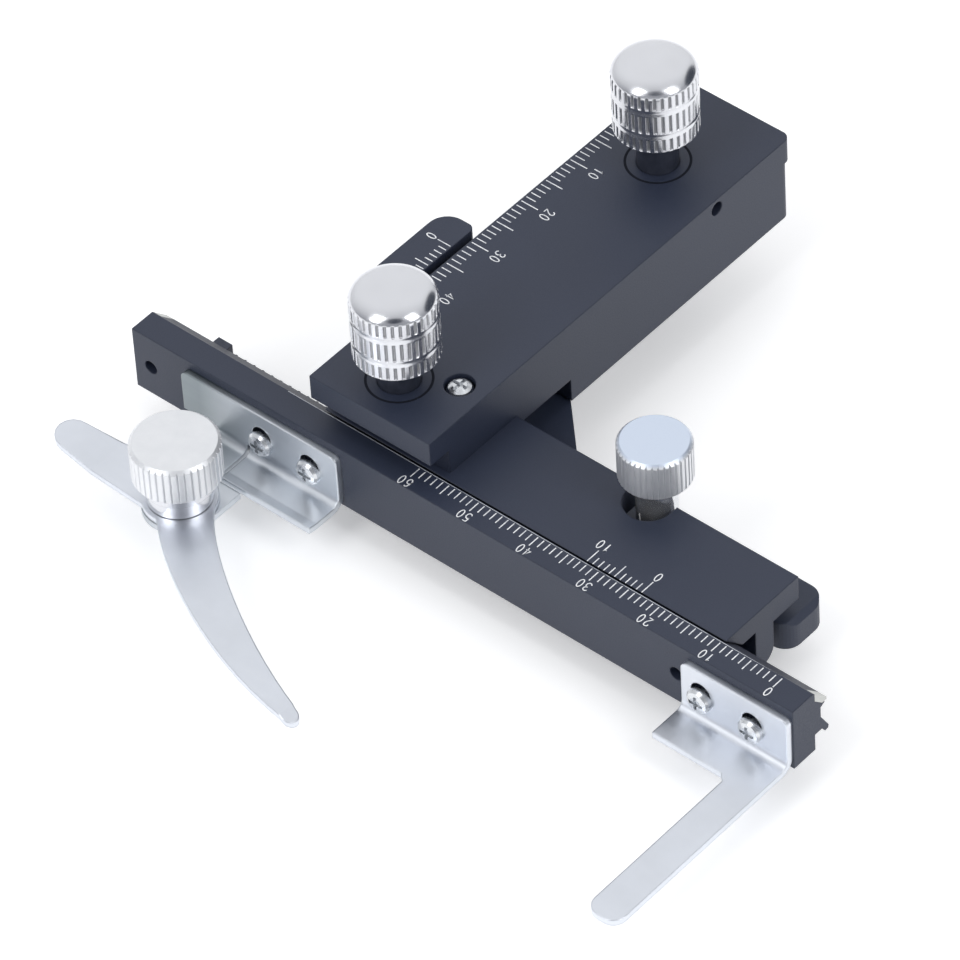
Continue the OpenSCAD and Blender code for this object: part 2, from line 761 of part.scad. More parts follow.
module y_vernier_arm() {
  left = -base_left;
  right = arm_w - base_left;
  rear = foot_len - base_front;
  color(black_metal) difference() {
    slab(base_t, carriage_top) polygon(concat(
      [[left, -arm_front], [right, -arm_front]],
      arc([right - arm_corner_small, rear - arm_corner_small], arm_corner_small, 0, 90),
      arc([left + arm_corner_big, rear - arm_corner_big], arm_corner_big, 90, 180)));
    at_arm_screws() rod(low_screw_d + screw_gap, base_t - over, base_t + low_screw_deep + screw_gap);
  }
}

module locating_pins() {
  color(bright_metal) at_pins() {
    rod(pin_d, -pin_out, -under_relief);
    rod(pin_root_d, -under_relief - screw_gap, pin_in);
  }
}

module thumbscrew() {
  edge = head_bevel;
  r = head_d / 2;
  top = head_z + head_h;
  color(satin_metal) difference() {
    union() {
      rod(thread_d, -thread_out, -under_relief);
      rod(shank_d, -under_relief - screw_gap, base_t + face_gap + over);
      rod(stem_d, base_t + face_gap, head_z + over);
      rotate_extrude($fn = 40) polygon([[0, head_z], [r - edge, head_z], [r, head_z + edge],
        [r, top - edge], [r - edge, top], [0, top]]);
    }
    flutes(head_flutes, head_d, head_flute, head_flute, head_z - over, top + over);
  }
}

module carriage_plan(front, rear) {
  r = carriage_corner_r;
  polygon(concat(
    [[carriage_left, -front], [carriage_right, -front]],
    arc([carriage_right - r, rear - r], r, 0, 90),
    arc([carriage_left + r, rear - r], r, 90, 180)));
}

module y_carriage() {
  rear = carriage_rear - body_inset;
  mid_z = rail_top + under_gap;
  low_z = base_t + under_gap;
  color(black_metal) difference() {
    union() {
      slab(slab_z, carriage_top) carriage_plan(carriage_front, carriage_rear);
      intersection() {
        along_x(carriage_left, carriage_w) polygon([
          [-body_front, guide_top], [-guide_rear, guide_top], [-guide_rear, mid_z],
          [body_step, mid_z], [body_step, low_z], [rear, low_z], [rear, slab_z + over],
          [-body_front, slab_z + over]]);
        slab(0, carriage_top) carriage_plan(carriage_front, rear);
      }
    }
    translate([cx, 0, 0]) along_y(body_step - over, carriage_rear - body_step + over * 2)
      polygon(rail_points(slide_gap, 0));
    translate([cx - pocket_half, pocket_y, rail_top])
      cube([pocket_half * 2, carriage_rear - pocket_y + over, pocket_h]);
    for (y = [x_shaft_y, y_shaft_y]) {
      translate([cx, y, 0]) {
        rod(bush_bore_d, shelf_z, carriage_top + over);
        rod(shaft_bore_d, rail_top, shelf_z + over);
      }
    }
    at_guide_screws() {
      rod(guide_screw_d + screw_gap * 2, guide_top - over, carriage_top + over);
      rod(counterbore_d, carriage_top - counterbore_deep, carriage_top + over);
    }
    set_screw_place() rod(set_screw_d + screw_gap * 2, -bush_d, set_screw_deep);
  }
}

// The side set screw's axis: its +Z points out of the carriage's right face, from the bush's side
module set_screw_place() {
  bush_side = sqrt(pow(bush_d / 2, 2) - pow(set_screw_shift, 2));
  translate([cx + bush_side, y_shaft_y - set_screw_shift, carriage_top - set_screw_drop])
    rotate([0, 90, 0]) children();
}

module side_set_screw() {
  color(bright_metal) set_screw_place() difference() {
    rod(set_screw_d, set_screw_d / 4, set_screw_d / 4 + set_screw_len);
    translate([-set_screw_d, -driver_w / 2, set_screw_d / 4 + set_screw_len - driver_deep])
      cube([set_screw_d * 2, driver_w, driver_deep + over]);
  }
}

module bush() {
  difference() {
    rod(bush_d, bush_z, carriage_top);
    rod(shaft_d + run_gap * 2, bush_z - over, carriage_top + over);
  }
}

module x_bush() {
  color(black_metal) translate([cx, x_shaft_y, 0]) bush();
}

module y_bush() {
  color(black_metal) translate([cx, y_shaft_y, 0]) bush();
}

module guide_2d() {
  r = guide_corner_r;
  rear_low = guide_top - guide_rear_t;
  polygon(concat(
    [[-guide_front, guide_top], [guide_t - guide_front, guide_low], [leg_front_y, guide_low],
     [leg_front_y, jaw_top], [bead_w - jaw_front, jaw_top], [bead_w - jaw_front, jaw_top + bead_h],
     [-jaw_front, jaw_top + bead_h], [-jaw_front, skim]],
    arc([leg_y - r, skim + r], r, -90, 0),
    [[leg_y, rear_low], [-guide_rear, rear_low], [-guide_rear, guide_top]]));
}

module x_guide() {
  color(black_metal) difference() {
    along_x(carriage_left, guide_right - carriage_left) guide_2d();
    translate([0, -notch_centre, 0]) {
      rod(notch_half * 2, skim, guide_top + over);
      translate([-notch_half, 0, skim]) cube([notch_half * 2, guide_front, guide_top + over]);
    }
    translate([cx, x_shaft_y, 0]) {
      rod(pinion_bore_d, jaw_top, guide_top + over);
      rod(journal_d + run_gap * 2, jaw_top - journal_deep, jaw_top + over);
    }
    at_guide_screws() rod(guide_screw_d + screw_gap, guide_top - guide_screw_deep - screw_gap,
                          guide_top + over);
  }
}

module guide_screws() {
  seat = carriage_top - counterbore_deep;
  color(bright_metal) at_guide_screws() translate([0, 0, seat])
    pan_screw(guide_screw_d, seat - guide_top + guide_screw_deep, guide_head_d, guide_head_h);
}

module x_shaft() {
  pinion_top = x_pinion_z + x_pinion_h;
  color(black_metal) translate([cx, x_shaft_y, 0]) {
    rod(journal_d, jaw_top - journal_deep + screw_gap, x_pinion_z + run_gap);
    slab(x_pinion_z, pinion_top) rotate(180) pinion_2d();
    rod(neck_d, pinion_top - run_gap, pinion_top + neck_h + run_gap);
    rod(shaft_d, pinion_top + neck_h, x_knob_z + knob_seat);
    rod(collar_d, collar_z, collar_z + collar_t);
  }
}

module y_shaft() {
  pinion_low = rail_top + under_gap;
  color(black_metal) translate([cx, y_shaft_y, 0]) {
    slab(pinion_low, pocket_top) rotate(90) pinion_2d();
    rod(shaft_d, pocket_top - run_gap, y_knob_z + knob_seat);
    rod(collar_d, collar_z, collar_z + collar_t);
  }
}

module knob(low) {
  r = knob_d / 2;
  b1 = low + band_low;
  b2 = b1 + band_groove;
  b3 = b2 + band_mid;
  b4 = b3 + band_groove;
  b5 = b4 + band_top;
  top = b5 + cap_h;
  edge = knob_bevel;
  color(bright_metal) difference() {
    rotate_extrude($fn = 48) polygon(concat(
      [[0, low], [r - edge, low], [r, low + edge], [r, b1], [r - groove_deep, b1], [r - groove_deep, b2],
       [r, b2], [r, b3], [r - groove_deep, b3], [r - groove_deep, b4], [r, b4]],
      arc([r - cap_r, top - cap_r], cap_r, 0, cap_end_angle, 5),
      [[0, top]]));
    flutes(knob_flutes, knob_d, flute_deep, flute_w, low - over, b5 + flute_run);
    rod(shaft_d + run_gap, low - over, low + knob_seat + run_gap);
  }
}

module x_knob() {
  translate([cx, x_shaft_y, 0]) knob(x_knob_z);
}

module y_knob() {
  translate([cx, y_shaft_y, 0]) knob(y_knob_z);
}

// The slanted face behind the bar's top, from its top end to the lip
function slope_at(run) = [bar_y + bar_top_w + run, bar_top - run];

module strip_2d() {
  a = slope_at(strip_inset);
  b = slope_at(lip_run);
  polygon([a, b, b - [0, lip_edge], b - [strip_t - lip_edge, lip_edge], a - [0, strip_t]]);
}

module bar_2d() {
  nose_y = bar_y + hook_depth;
  web_y = bar_y + bar_web;
  inner_y = -jaw_front - slide_gap;
  hook_y = bead_w + slide_gap - jaw_front;
  roof_z = jaw_top + bead_h + face_gap;
  tip_z = jaw_top + slide_gap;
  a = slope_at(0);
  b = slope_at(lip_run);
  polygon([[bar_y, skim], [bar_y, bar_top], a, b, b - [0, lip_edge], [web_y, b[1] - lip_edge * 2.5],
           [web_y, tip_z + hook_nose + hook_slope], [nose_y, tip_z + hook_nose],
           [nose_y - hook_taper / 6, tip_z + hook_taper / 6], [hook_y + hook_taper, tip_z], [hook_y, roof_z],
           [inner_y, roof_z], [inner_y, skim]]);
}

module front_hole(x, z, d) {
  translate([x, bar_y - over, z]) rotate([-90, 0, 0]) cylinder(h = front_hole_deep + over, d = d);
}

module at_x_rack_screws() {
  left = cx - x_travel_right - stop_room;
  right = cx + x_travel_left + stop_room;
  for (x = [left - lug_t / 2, right + lug_t / 2]) {
    translate([x, x_pitch_y + lug_reach, x_rack_z + x_lug_z / 2]) rotate([-90, 0, 0]) children();
  }
}

module x_bar() {
  slot_left = cx - x_travel_right - stop_room - lug_t;
  slot_right = cx + x_travel_left + stop_room + lug_t;
  seat_y = x_pitch_y - dedendum - x_rack_seat;
  color(black_metal) difference() {
    along_x(bar_left, bar_len) bar_2d();
    along_x(bar_left - over, bar_len + over * 2) strip_cut_2d();
    translate([slot_left, seat_y, x_rack_z]) cube([slot_right - slot_left, hook_depth, x_rack_h]);
    for (k = [0, 1]) {
      front_hole(right_screws_x + k * clip_screw_span, clip_screw_z, clip_screw_d + screw_gap);
      front_hole(left_screws_x + k * clip_screw_span, clip_screw_z, clip_screw_d + screw_gap);
    }
    front_hole(bar_left + spare_left_in, spare_hole_z, spare_hole_d);
    front_hole(right_plate_x - spare_right_in, spare_hole_z, spare_hole_d);
    at_x_rack_screws() rod(rack_screw_d + screw_gap, -rack_screw_deep - screw_gap, 0);
  }
}

module strip_cut_2d() {
  a = slope_at(strip_inset);
  b = slope_at(lip_run);
  polygon([a + [over, over], b + [over, over], b + [over, -lip_edge - over], b - [strip_t - lip_edge, lip_edge],
           a - [0, strip_t], a]);
}

module x_slide_strip() {
  color(bright_metal) along_x(bar_left, bar_len) strip_2d();
}

module x_rack() {
  left = x_travel_right + stop_room;
  right = x_travel_left + stop_room;
  color(rack_metal) difference() {
    translate([cx, x_pitch_y, 0]) {
      slab(x_rack_z, x_rack_z + x_rack_h)
        polygon(rack_points(left, right, x_rack_seat, lug_t, lug_t, addendum / 2));
      for (x = [-left - lug_t, right]) {
        translate([x, -dedendum, x_rack_z]) cube([lug_t, dedendum + lug_reach, x_lug_z]);
      }
    }
    at_x_rack_screws() {
      rod(rack_screw_d + screw_gap * 2, -rack_screw_deep - over, over);
      rod(rack_head_d, -rack_screw_d, over);
    }
  }
}

module x_rack_screws() {
  color(bright_metal) at_x_rack_screws() {
    rod(rack_screw_d, -rack_screw_deep, -rack_screw_d + screw_gap * 2);
    rod(rack_head_d - screw_gap * 2, -rack_screw_d + screw_gap, -screw_gap);
  }
}

// The bent sheet of a bracket, with the flange's front edge raised by lift
module bent_2d(lift) {
  c = [bar_y - bend_out, skim + bend_out];
  polygon(concat(
    [[bar_y, plate_top]],
    arc(c, bend_out, 0, -90),
    [[flange_y + sheet_t * 1.5, skim], [flange_y, skim + lift], [flange_y, sheet_top + lift],
     [flange_y + sheet_t * 1.5, sheet_top]],
    arc(c, bend_r, -90, 0),
    [[bar_y - sheet_t, plate_top]]));
}

// Front view of a plate with rounded upper corners
module plate_view(left, right) {
  r = plate_corner_r;
  polygon(concat(
    [[left, 0], [right, 0]],
    arc([right - r, plate_top - r], r, 0, 90),
    arc([left + r, plate_top - r], r, 90, 180)));
}

module clip_slot(x) {
  translate([x, bar_y + over, clip_screw_z]) rotate([90, 0, 0]) {
    cylinder(h = sheet_t + over * 2, d = clip_slot_w);
    translate([0, clip_slot_up, 0]) cylinder(h = sheet_t + over * 2, d = clip_slot_w);
    translate([-clip_slot_w / 2, 0, 0]) cube([clip_slot_w, clip_slot_up, sheet_t + over * 2]);
  }
}

module right_bracket() {
  left = right_plate_x;
  right = right_plate_x + right_plate_w;
  tip_y = bar_y - finger_reach;
  r = finger_w * 0.4;
  color(sheet_metal) difference() {
    union() {
      intersection() {
        along_x(left, right_plate_w) bent_2d(0);
        along_y(bar_y - finger_reach, finger_reach) plate_view(left, right);
      }
      slab(skim, sheet_top) polygon(concat(
        [[right, flange_y + sheet_t], [right - finger_w - sheet_t, flange_y + sheet_t],
         [right - finger_w - sheet_t, flange_y], [right - finger_w, flange_y - sheet_t]],
        arc([right - finger_w + r, tip_y + r], r, 180, 270),
        arc([right - r, tip_y + r], r, 270, 360)));
    }
    for (k = [0, 1]) {
      clip_slot(right_screws_x + k * clip_screw_span);
    }
  }
}

module left_bracket() {
  right = left_plate_right;
  tab_left = -pivot_x - tab_w / 2;
  flat_y = bar_y - bend_out;
  color(sheet_metal) difference() {
    union() {
      intersection() {
        along_x(left_flange_x, left_flange_w) bent_2d(edge_lip);
        along_y(bar_y - pivot_reach, pivot_reach) plate_view(-left_plate_x, right);
      }
      along_x(tab_left, left_flange_x - slit_w - tab_left) bent_2d(0);
      translate([left_flange_x - slit_w - over, bar_y - sheet_t, skim + bend_out])
        cube([slit_w + over * 2, sheet_t, plate_top - skim - bend_out]);
      intersection() {
        translate([-left_plate_x, bar_y - sheet_t, skim + bend_out])
          cube([left_plate_w / 2, sheet_t, plate_top - skim - bend_out]);
        along_y(bar_y - pivot_reach, pivot_reach) plate_view(-left_plate_x, right);
      }
      slab(skim, sheet_top) {
        translate([tab_left, pivot_y]) square([tab_w, flange_y - slit_w - pivot_y]);
        translate([tab_left, flange_y - slit_w - over])
          square([left_flange_x - slit_w - tab_left, over * 2 + slit_w]);
        translate([-pivot_x, pivot_y]) circle(d = tab_w);
      }
    }
    for (k = [0, 1]) {
      clip_slot(left_screws_x + k * clip_screw_span);
    }
    at_pivot() {
      rod(stud_d + screw_gap, 0, sheet_top + over);
      rod(stud_head_d + screw_gap * 2, 0, skim + stud_head_h + screw_gap);
    }
  }
}

module bracket_screws() {
  color(bright_metal) for (x = [right_screws_x, left_screws_x], k = [0, 1]) {
    translate([x + k * clip_screw_span, bar_y - sheet_t, clip_screw_z]) rotate([90, 0, 0])
      pan_screw(clip_screw_d, front_hole_deep + sheet_t - screw_gap, clip_head_d, clip_head_h);
  }
}

module pivot_stud() {
  color(bright_metal) at_pivot() {
    rod(stud_head_d, skim, skim + stud_head_h);
    rod(stud_d, skim + stud_head_h - screw_gap, nut_z + nut_h - nut_roof);
  }
}

module pivot_collar() {
  color(bright_metal) at_pivot() difference() {
    union() {
      rod(hub_d, hub_z, hub_z + hub_h);
      rod(rim_d, hub_z + hub_h - rim_h, hub_z + hub_h);
    }
    rod(hub_hollow_d, hub_z - over, hub_z + hub_h - hub_wall);
    rod(stud_d + screw_gap * 2, hub_z, hub_z + hub_h + over);
  }
}

// A coil of round wire as one unbroken tube
module lever_spring() {
  rings = floor(coil_turns * 8);
  sides = 6;
  low = hub_z + face_gap + wire_d / 2;
  points = [for (i = [0:rings], j = [0:sides - 1])
    let (a = i * 45, b = j * 360 / sides, r = coil_d / 2 + cos(b) * wire_d / 2)
    [r * cos(a), r * sin(a), low + coil_pitch * i / 8 + sin(b) * wire_d / 2]];
  walls = [for (i = [0:rings - 1], j = [0:sides - 1])
    let (k = (j + 1) % sides)
    [i * sides + j, i * sides + k, (i + 1) * sides + k, (i + 1) * sides + j]];
  start = [for (j = [0:sides - 1]) sides - 1 - j];
  end = [for (j = [0:sides - 1]) rings * sides + j];
  echo(least_gap_between_curls = coil_pitch - wire_d);
  color(bright_metal) at_pivot() polyhedron(points, concat([start], walls, [end]));
}

// Plan of the lever round its pivot
module lever_2d() {
  size = [lever_span, -lever_drop];
  outer = curve([for (p = outer_shares) [p[0] * size[0], p[1] * size[1]]]);
  inner = curve([for (p = inner_shares) [p[0] * size[0], p[1] * size[1]]]);
  end_x = thumb_w / 2 - thumb_len;
  polygon(concat(
    arc([end_x, -thumb_w / 6], thumb_w / 2, 90, 270),
    arc([0, 0], lever_hub_r, hub_front_angles[0], hub_front_angles[1], 4),
    outer,
    arc([tip_reach_share * lever_span, (tip_share - 1) * lever_drop], tip_share * lever_drop,
        -tip_angle, tip_angle, 6),
    inner,
    arc([0, 0], lever_hub_r, hub_rear_angles[0], hub_rear_angles[1], 10)));
}

// Side view of the lever's sheet: upturned thumb end, downturned tip
module lever_side_2d() {
  tip = lever_span;
  polygon([[-thumb_len - over, lever_z + thumb_rise], [thumb_bend - thumb_len, lever_z],
           [tip - tip_bend, lever_z], [tip + over, lever_z - tip_fall],
           [tip + over, lever_z - tip_fall + lever_t], [tip - tip_bend, lever_z + lever_t],
           [thumb_bend - thumb_len, lever_z + lever_t],
           [-thumb_len - over, lever_z + thumb_rise + lever_t]]);
}

module finger_lever() {
  color(sheet_metal) at_pivot() difference() {
    intersection() {
      slab(0, lever_top + over) lever_2d();
      along_y(-lever_drop - over, lever_drop + lever_hub_r + over * 2) lever_side_2d();
    }
    rod(stud_d + run_gap * 2, 0, lever_top + over);
  }
}

module pivot_knob() {
  r = nut_d / 2;
  top = nut_z + nut_h;
  edge = head_bevel;
  color(satin_metal) at_pivot() difference() {
    rotate_extrude($fn = 48) polygon([[0, nut_z], [r - edge, nut_z], [r, nut_z + edge], [r, top - edge],
      [r - edge, top], [0, top]]);
    flutes(nut_flutes, nut_d, nut_flute, nut_flute, nut_z - over, top + over);
    rod(stud_d + run_gap * 2, nut_z - over, top - nut_roof + run_gap);
  }
}

base_plate();
y_rail();
y_rack();
y_rack_screws();
rail_screws();
y_vernier_arm();
arm_screws();
locating_pins();
thumbscrew();
y_carriage();
x_guide();
guide_screws();
x_bush();
y_bush();
side_set_screw();
x_shaft();
x_knob();
y_shaft();
y_knob();
x_bar();
x_slide_strip();
x_rack();
x_rack_screws();
left_bracket();
right_bracket();
bracket_screws();
pivot_stud();
pivot_collar();
lever_spring();
finger_lever();
pivot_knob();
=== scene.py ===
import math

import bpy
from bpy.props import FloatProperty, FloatVectorProperty, IntProperty, PointerProperty
from mathutils import Matrix, Vector


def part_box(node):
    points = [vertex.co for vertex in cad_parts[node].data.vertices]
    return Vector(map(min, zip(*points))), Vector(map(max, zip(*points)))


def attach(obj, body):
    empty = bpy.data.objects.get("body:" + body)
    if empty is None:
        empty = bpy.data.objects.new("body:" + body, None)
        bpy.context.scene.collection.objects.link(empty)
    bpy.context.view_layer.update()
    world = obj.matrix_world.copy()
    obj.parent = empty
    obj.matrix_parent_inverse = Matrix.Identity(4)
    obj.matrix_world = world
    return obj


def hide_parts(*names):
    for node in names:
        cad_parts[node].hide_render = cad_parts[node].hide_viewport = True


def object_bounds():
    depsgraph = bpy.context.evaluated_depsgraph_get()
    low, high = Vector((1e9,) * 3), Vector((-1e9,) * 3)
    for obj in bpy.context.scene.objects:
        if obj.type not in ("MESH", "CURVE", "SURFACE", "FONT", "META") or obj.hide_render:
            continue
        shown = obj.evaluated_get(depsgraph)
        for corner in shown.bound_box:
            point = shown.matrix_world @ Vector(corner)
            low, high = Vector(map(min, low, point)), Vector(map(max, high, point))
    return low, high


bl_info = {
    "name": "Microscope stage looks",
    "version": (1, 0, 0),
    "blender": (4, 5, 0),
    "location": "3D View > Sidebar > Stage",
    "description": "Engraved scales, threads and finishes for an attachable X-Y microscope stage",
    "category": "Object",
}

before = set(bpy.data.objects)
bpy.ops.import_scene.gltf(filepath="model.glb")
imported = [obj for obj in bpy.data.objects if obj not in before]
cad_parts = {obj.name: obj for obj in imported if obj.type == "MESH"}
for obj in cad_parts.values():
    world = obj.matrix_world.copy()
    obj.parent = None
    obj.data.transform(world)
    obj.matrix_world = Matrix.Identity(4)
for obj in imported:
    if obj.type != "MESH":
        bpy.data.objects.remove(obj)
CAD_BOX = [list(corner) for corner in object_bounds()]
MM = 0.001

# Height of the thumbscrew's head and radius of its thread. As shares of the ridge's depth: half its
# square section, and how far the middle of that section lies inside the radius
HEAD_HEIGHT = 6.3 * MM
THREAD_RADIUS = 2.5 * MM
RIDGE_HALF = 0.5
RIDGE_SUNK = 0.1
# Rear edge of the bar's top face. Then the pale line along it, bare metal where the anodising is rubbed
# off and a painted highlight of the edge's glint: how far from the bar's left end it starts, how far
# before the right end it stops, the last stretch over which it narrows to nothing, and its width
BAR_TOP_REAR = -14.95 * MM
WORN_GLINT_FROM = 24 * MM
WORN_GLINT_TO = 5 * MM
WORN_GLINT_TAPER = 8 * MM
WORN_GLINT_WIDTH = 0.09 * MM
# The painted shade in the gap round a bush starts a little under the bush and ends this far outside it
GAP_SHADE_UNDER = 0.1 * MM
GAP_SHADE_WIDTH = 0.25 * MM

# Divisions of the scales and of their verniers, ten of which are as long as nine of a scale, and how
# many divisions of a scale lie between two numbers
SCALE_STEP = 1 * MM
VERNIER_STEP = 0.9 * MM
NUMBER_EVERY = 10

# Place of the camera, and the directions of its picture, found from the ends of the scales' lines
CAMERA_PLACE = (0.48103, -0.54205, 0.74332)
CAMERA_RIGHT = (0.75778, 0.65082, -0.04687)
CAMERA_UP = (-0.43731, 0.55986, 0.70379)
CAMERA_BACK = (0.48428, -0.51282, 0.70886)
CAMERA_CLIP = (0.05, 20.0)
SENSOR_WIDTH = 36.0
# Walls of the studio tent: direction, the cosines of the angles to it at which the wall starts and
# is full, and colour. First the bright wall that flat metal mirrors, then two dark openings: the gap
# between two walls, and the hole for the lens
TENT_DIM = "#a7a9ae"
TENT_WALLS = (
    ((-CAMERA_BACK[0], -CAMERA_BACK[1], CAMERA_BACK[2]), 0.0, 0.8, "#f9fafc"),
    ((0.49, 0.83, 0.27), 0.9, 0.915, "#4a4e58"),
    (CAMERA_BACK, 0.955, 0.97, "#4a4e58"),
)
SOFTBOXES = {"front_softbox": (-0.12, -0.82, 0.72), "side_softbox": (0.86, 0.03, 0.72)}
SOFTBOX_SIZE = (0.36, 0.8)
SOFTBOX_AIM = (-0.02, -0.01, 0.01)
FLOOR_REACH = 2.0
FLOOR_GAP = 0.1 * MM


def linear(code):
    """An sRGB hex colour as linear red, green and blue."""
    parts = [int(code[i : i + 2], 16) / 255 for i in (1, 3, 5)]
    return tuple(c / 12.92 if c <= 0.04045 else ((c + 0.055) / 1.055) ** 2.4 for c in parts)


def top_of(name):
    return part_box(name)[1]


def low_of(name):
    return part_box(name)[0]


class FinishSettings(bpy.types.PropertyGroup):
    """Colours and grain of the finishes."""

    anodised: FloatVectorProperty(
        name="Anodised aluminium",
        description="Colour of the matt black anodised parts",
        subtype="COLOR",
        size=3,
        min=0,
        max=1,
        default=linear("#2a3143"),
    )
    nickel: FloatVectorProperty(
        name="Nickel",
        description="Colour of the polished nickel on the stage knobs",
        subtype="COLOR",
        size=3,
        min=0,
        max=1,
        default=linear("#dddee2"),
    )
    zinc: FloatVectorProperty(
        name="Zinc",
        description="Colour of the bright zinc on the sheet metal",
        subtype="COLOR",
        size=3,
        min=0,
        max=1,
        default=linear("#e0e4eb"),
    )
    blast_grain: FloatProperty(
        name="Blast grain",
        description="Size of the bead-blasted grain under the anodising",
        unit="LENGTH",
        default=0.00018,
        min=0.00005,
        max=0.001,
    )
    edge_round: FloatProperty(
        name="Edge rounding",
        description="Radius by which the machined edges catch the light",
        unit="LENGTH",
        default=0.0003,
        min=0,
        max=0.001,
    )


class ScaleSettings(bpy.types.PropertyGroup):
    """Sizes of the engraved scales."""

    line_width: FloatProperty(
        name="Line width",
        description="Width of an engraved line",
        unit="LENGTH",
        default=0.00016,
        min=0.00005,
        max=0.0005,
    )
    digit_height: FloatProperty(
        name="Digit height",
        description="Height of the engraved digits",
        unit="LENGTH",
        default=0.00145,
        min=0.0008,
        max=0.003,
    )
    proud: FloatProperty(
        name="Paint height",
        description="How far the white filling stands over the metal",
        unit="LENGTH",
        default=0.000012,
        min=0.000005,
        max=0.0001,
    )
    main_count: IntProperty(
        name="Bar divisions",
        description="Millimetres on the bar's scale",
        default=60,
        min=10,
        max=80,
    )
    rail_count: IntProperty(
        name="Carriage divisions",
        description="Millimetres on the carriage's scale",
        default=50,
        min=10,
        max=60,
    )
    vernier_count: IntProperty(
        name="Vernier divisions",
        description="Divisions of both verniers",
        default=10,
        min=5,
        max=20,
    )


class KnobSettings(bpy.types.PropertyGroup):
    """Sizes of the fluted stage knobs."""

    flutes: IntProperty(
        name="Flutes",
        description="Number of flutes round a stage knob",
        default=36,
        min=12,
        max=60,
    )
    flute_width: FloatProperty(
        name="Flute width",
        description="Width of one flute at the knob's surface",
        unit="LENGTH",
        default=0.00045,
        min=0.0001,
        max=0.0006,
    )
    flute_depth: FloatProperty(
        name="Flute depth",
        description="Depth of the flutes below the knob's surface",
        unit="LENGTH",
        default=0.0003,
        min=0.0001,
        max=0.0005,
    )
    ring_depth: FloatProperty(
        name="Ring depth",
        description="Depth of the rings that part the bands of flutes",
        unit="LENGTH",
        default=0.00006,
        min=0,
        max=0.0005,
    )
    dome: FloatProperty(
        name="Dome height",
        description="Height over which the knob's side rolls into its top",
        unit="LENGTH",
        default=0.0025,
        min=0.0005,
        max=0.004,
    )


class ThreadSettings(bpy.types.PropertyGroup):
    """Sizes of the thumbscrew's thread."""

    pitch: FloatProperty(
        name="Thread pitch",
        description="Rise of the thumbscrew's thread for each turn",
        unit="LENGTH",
        default=0.0008,
        min=0.0004,
        max=0.002,
    )
    ridge: FloatProperty(
        name="Thread depth",
        description="Height of the thread's ridge",
        unit="LENGTH",
        default=0.0004,
        min=0.0001,
        max=0.0008,
    )


class StageSettings(bpy.types.PropertyGroup):
    """Lamps and camera."""

    lamp_power: FloatProperty(
        name="Lamp power",
        description="Power of each softbox",
        unit="POWER",
        default=3.6,
        min=0,
        max=200,
    )
    focal_length: FloatProperty(
        name="Focal length",
        description="Focal length of the camera",
        unit="CAMERA",
        default=302.43,
        min=20,
        max=500,
    )


class LookSettings(bpy.types.PropertyGroup):
    """All settings of the stage's looks."""

    finish: PointerProperty(type=FinishSettings, name="Finishes", description="Colours and grain")
    scale: PointerProperty(type=ScaleSettings, name="Scales", description="Engraved scales")
    knob: PointerProperty(type=KnobSettings, name="Knobs", description="Fluted stage knobs")
    thread: PointerProperty(type=ThreadSettings, name="Thread", description="Thumbscrew thread")
    stage: PointerProperty(type=StageSettings, name="Stage", description="Floor, lamps, camera")


def settings():
    return bpy.context.scene.stage_looks


# Nodes

# Sockets of a Mix node that mixes colours, which shares their names with its other kinds
MIX_FACTOR, MIX_A, MIX_B, MIX_RESULT = 0, 6, 7, 2


def connect(tree, node, inputs):
    """Gives a node's inputs their values: numbers, colours, materials or the sockets that feed them."""
    for name, value in inputs.items():
        if isinstance(value, bpy.types.NodeSocket):
            tree.links.new(value, node.inputs[name])
        else:
            node.inputs[name].default_value = value


def add(tree, kind, inputs=None, **values):
    """Adds one node with its settings and inputs."""
    node = tree.nodes.new(kind)
    for name, value in values.items():
        setattr(node, name, value)
    connect(tree, node, inputs or {})
    return node


def new_material(name):
    """The material of a name, and its tree and shader too where they are still to be set up."""
    made = bpy.data.materials.get(name)
    if made:
        return made, None, None
    made = bpy.data.materials.new(name)
    made.use_nodes = True
    tree = made.node_tree
    tree.nodes.clear()
    shader = add(tree, "ShaderNodeBsdfPrincipled")
    add(tree, "ShaderNodeOutputMaterial", {"Surface": shader.outputs["BSDF"]})
    return made, tree, shader


def distance_along(tree, axis):
    """How far a point of the surface lies along one axis, in metres."""
    place = add(tree, "ShaderNodeTexCoord").outputs["Object"]
    return add(tree, "ShaderNodeSeparateXYZ", {"Vector": place}).outputs[axis]


def grain(tree, size, detail=3.0, rough=0.5, stretch=(1, 1, 1)):
    """Noise on Object coordinates whose lumps are about size metres wide."""
    place = add(tree, "ShaderNodeTexCoord").outputs["Object"]
    turned = add(tree, "ShaderNodeMapping", {"Vector": place, "Scale": stretch}).outputs["Vector"]
    lumps = {"Vector": turned, "Scale": 1 / size, "Detail": detail, "Roughness": rough}
    return add(tree, "ShaderNodeTexNoise", lumps).outputs["Fac"]


def blend(tree, driver, low, high, first, second):
    """A colour that goes from first to second while driver goes from low to high."""
    share = add(tree, "ShaderNodeMapRange", {"Value": driver, "From Min": low, "From Max": high})
    ends = [c if isinstance(c, bpy.types.NodeSocket) else (*c, 1.0) for c in (first, second)]
    inputs = {MIX_FACTOR: share.outputs["Result"], MIX_A: ends[0], MIX_B: ends[1]}
    return add(tree, "ShaderNodeMix", inputs, data_type="RGBA").outputs[MIX_RESULT]


def uneven(tree, pattern, smooth, rough):
    """Roughness that follows a noise pattern, over the range that noise mostly keeps to."""
    inputs = {"Value": pattern, "From Min": 0.3, "From Max": 0.7, "To Min": smooth, "To Max": rough}
    return add(tree, "ShaderNodeMapRange", inputs).outputs["Result"]


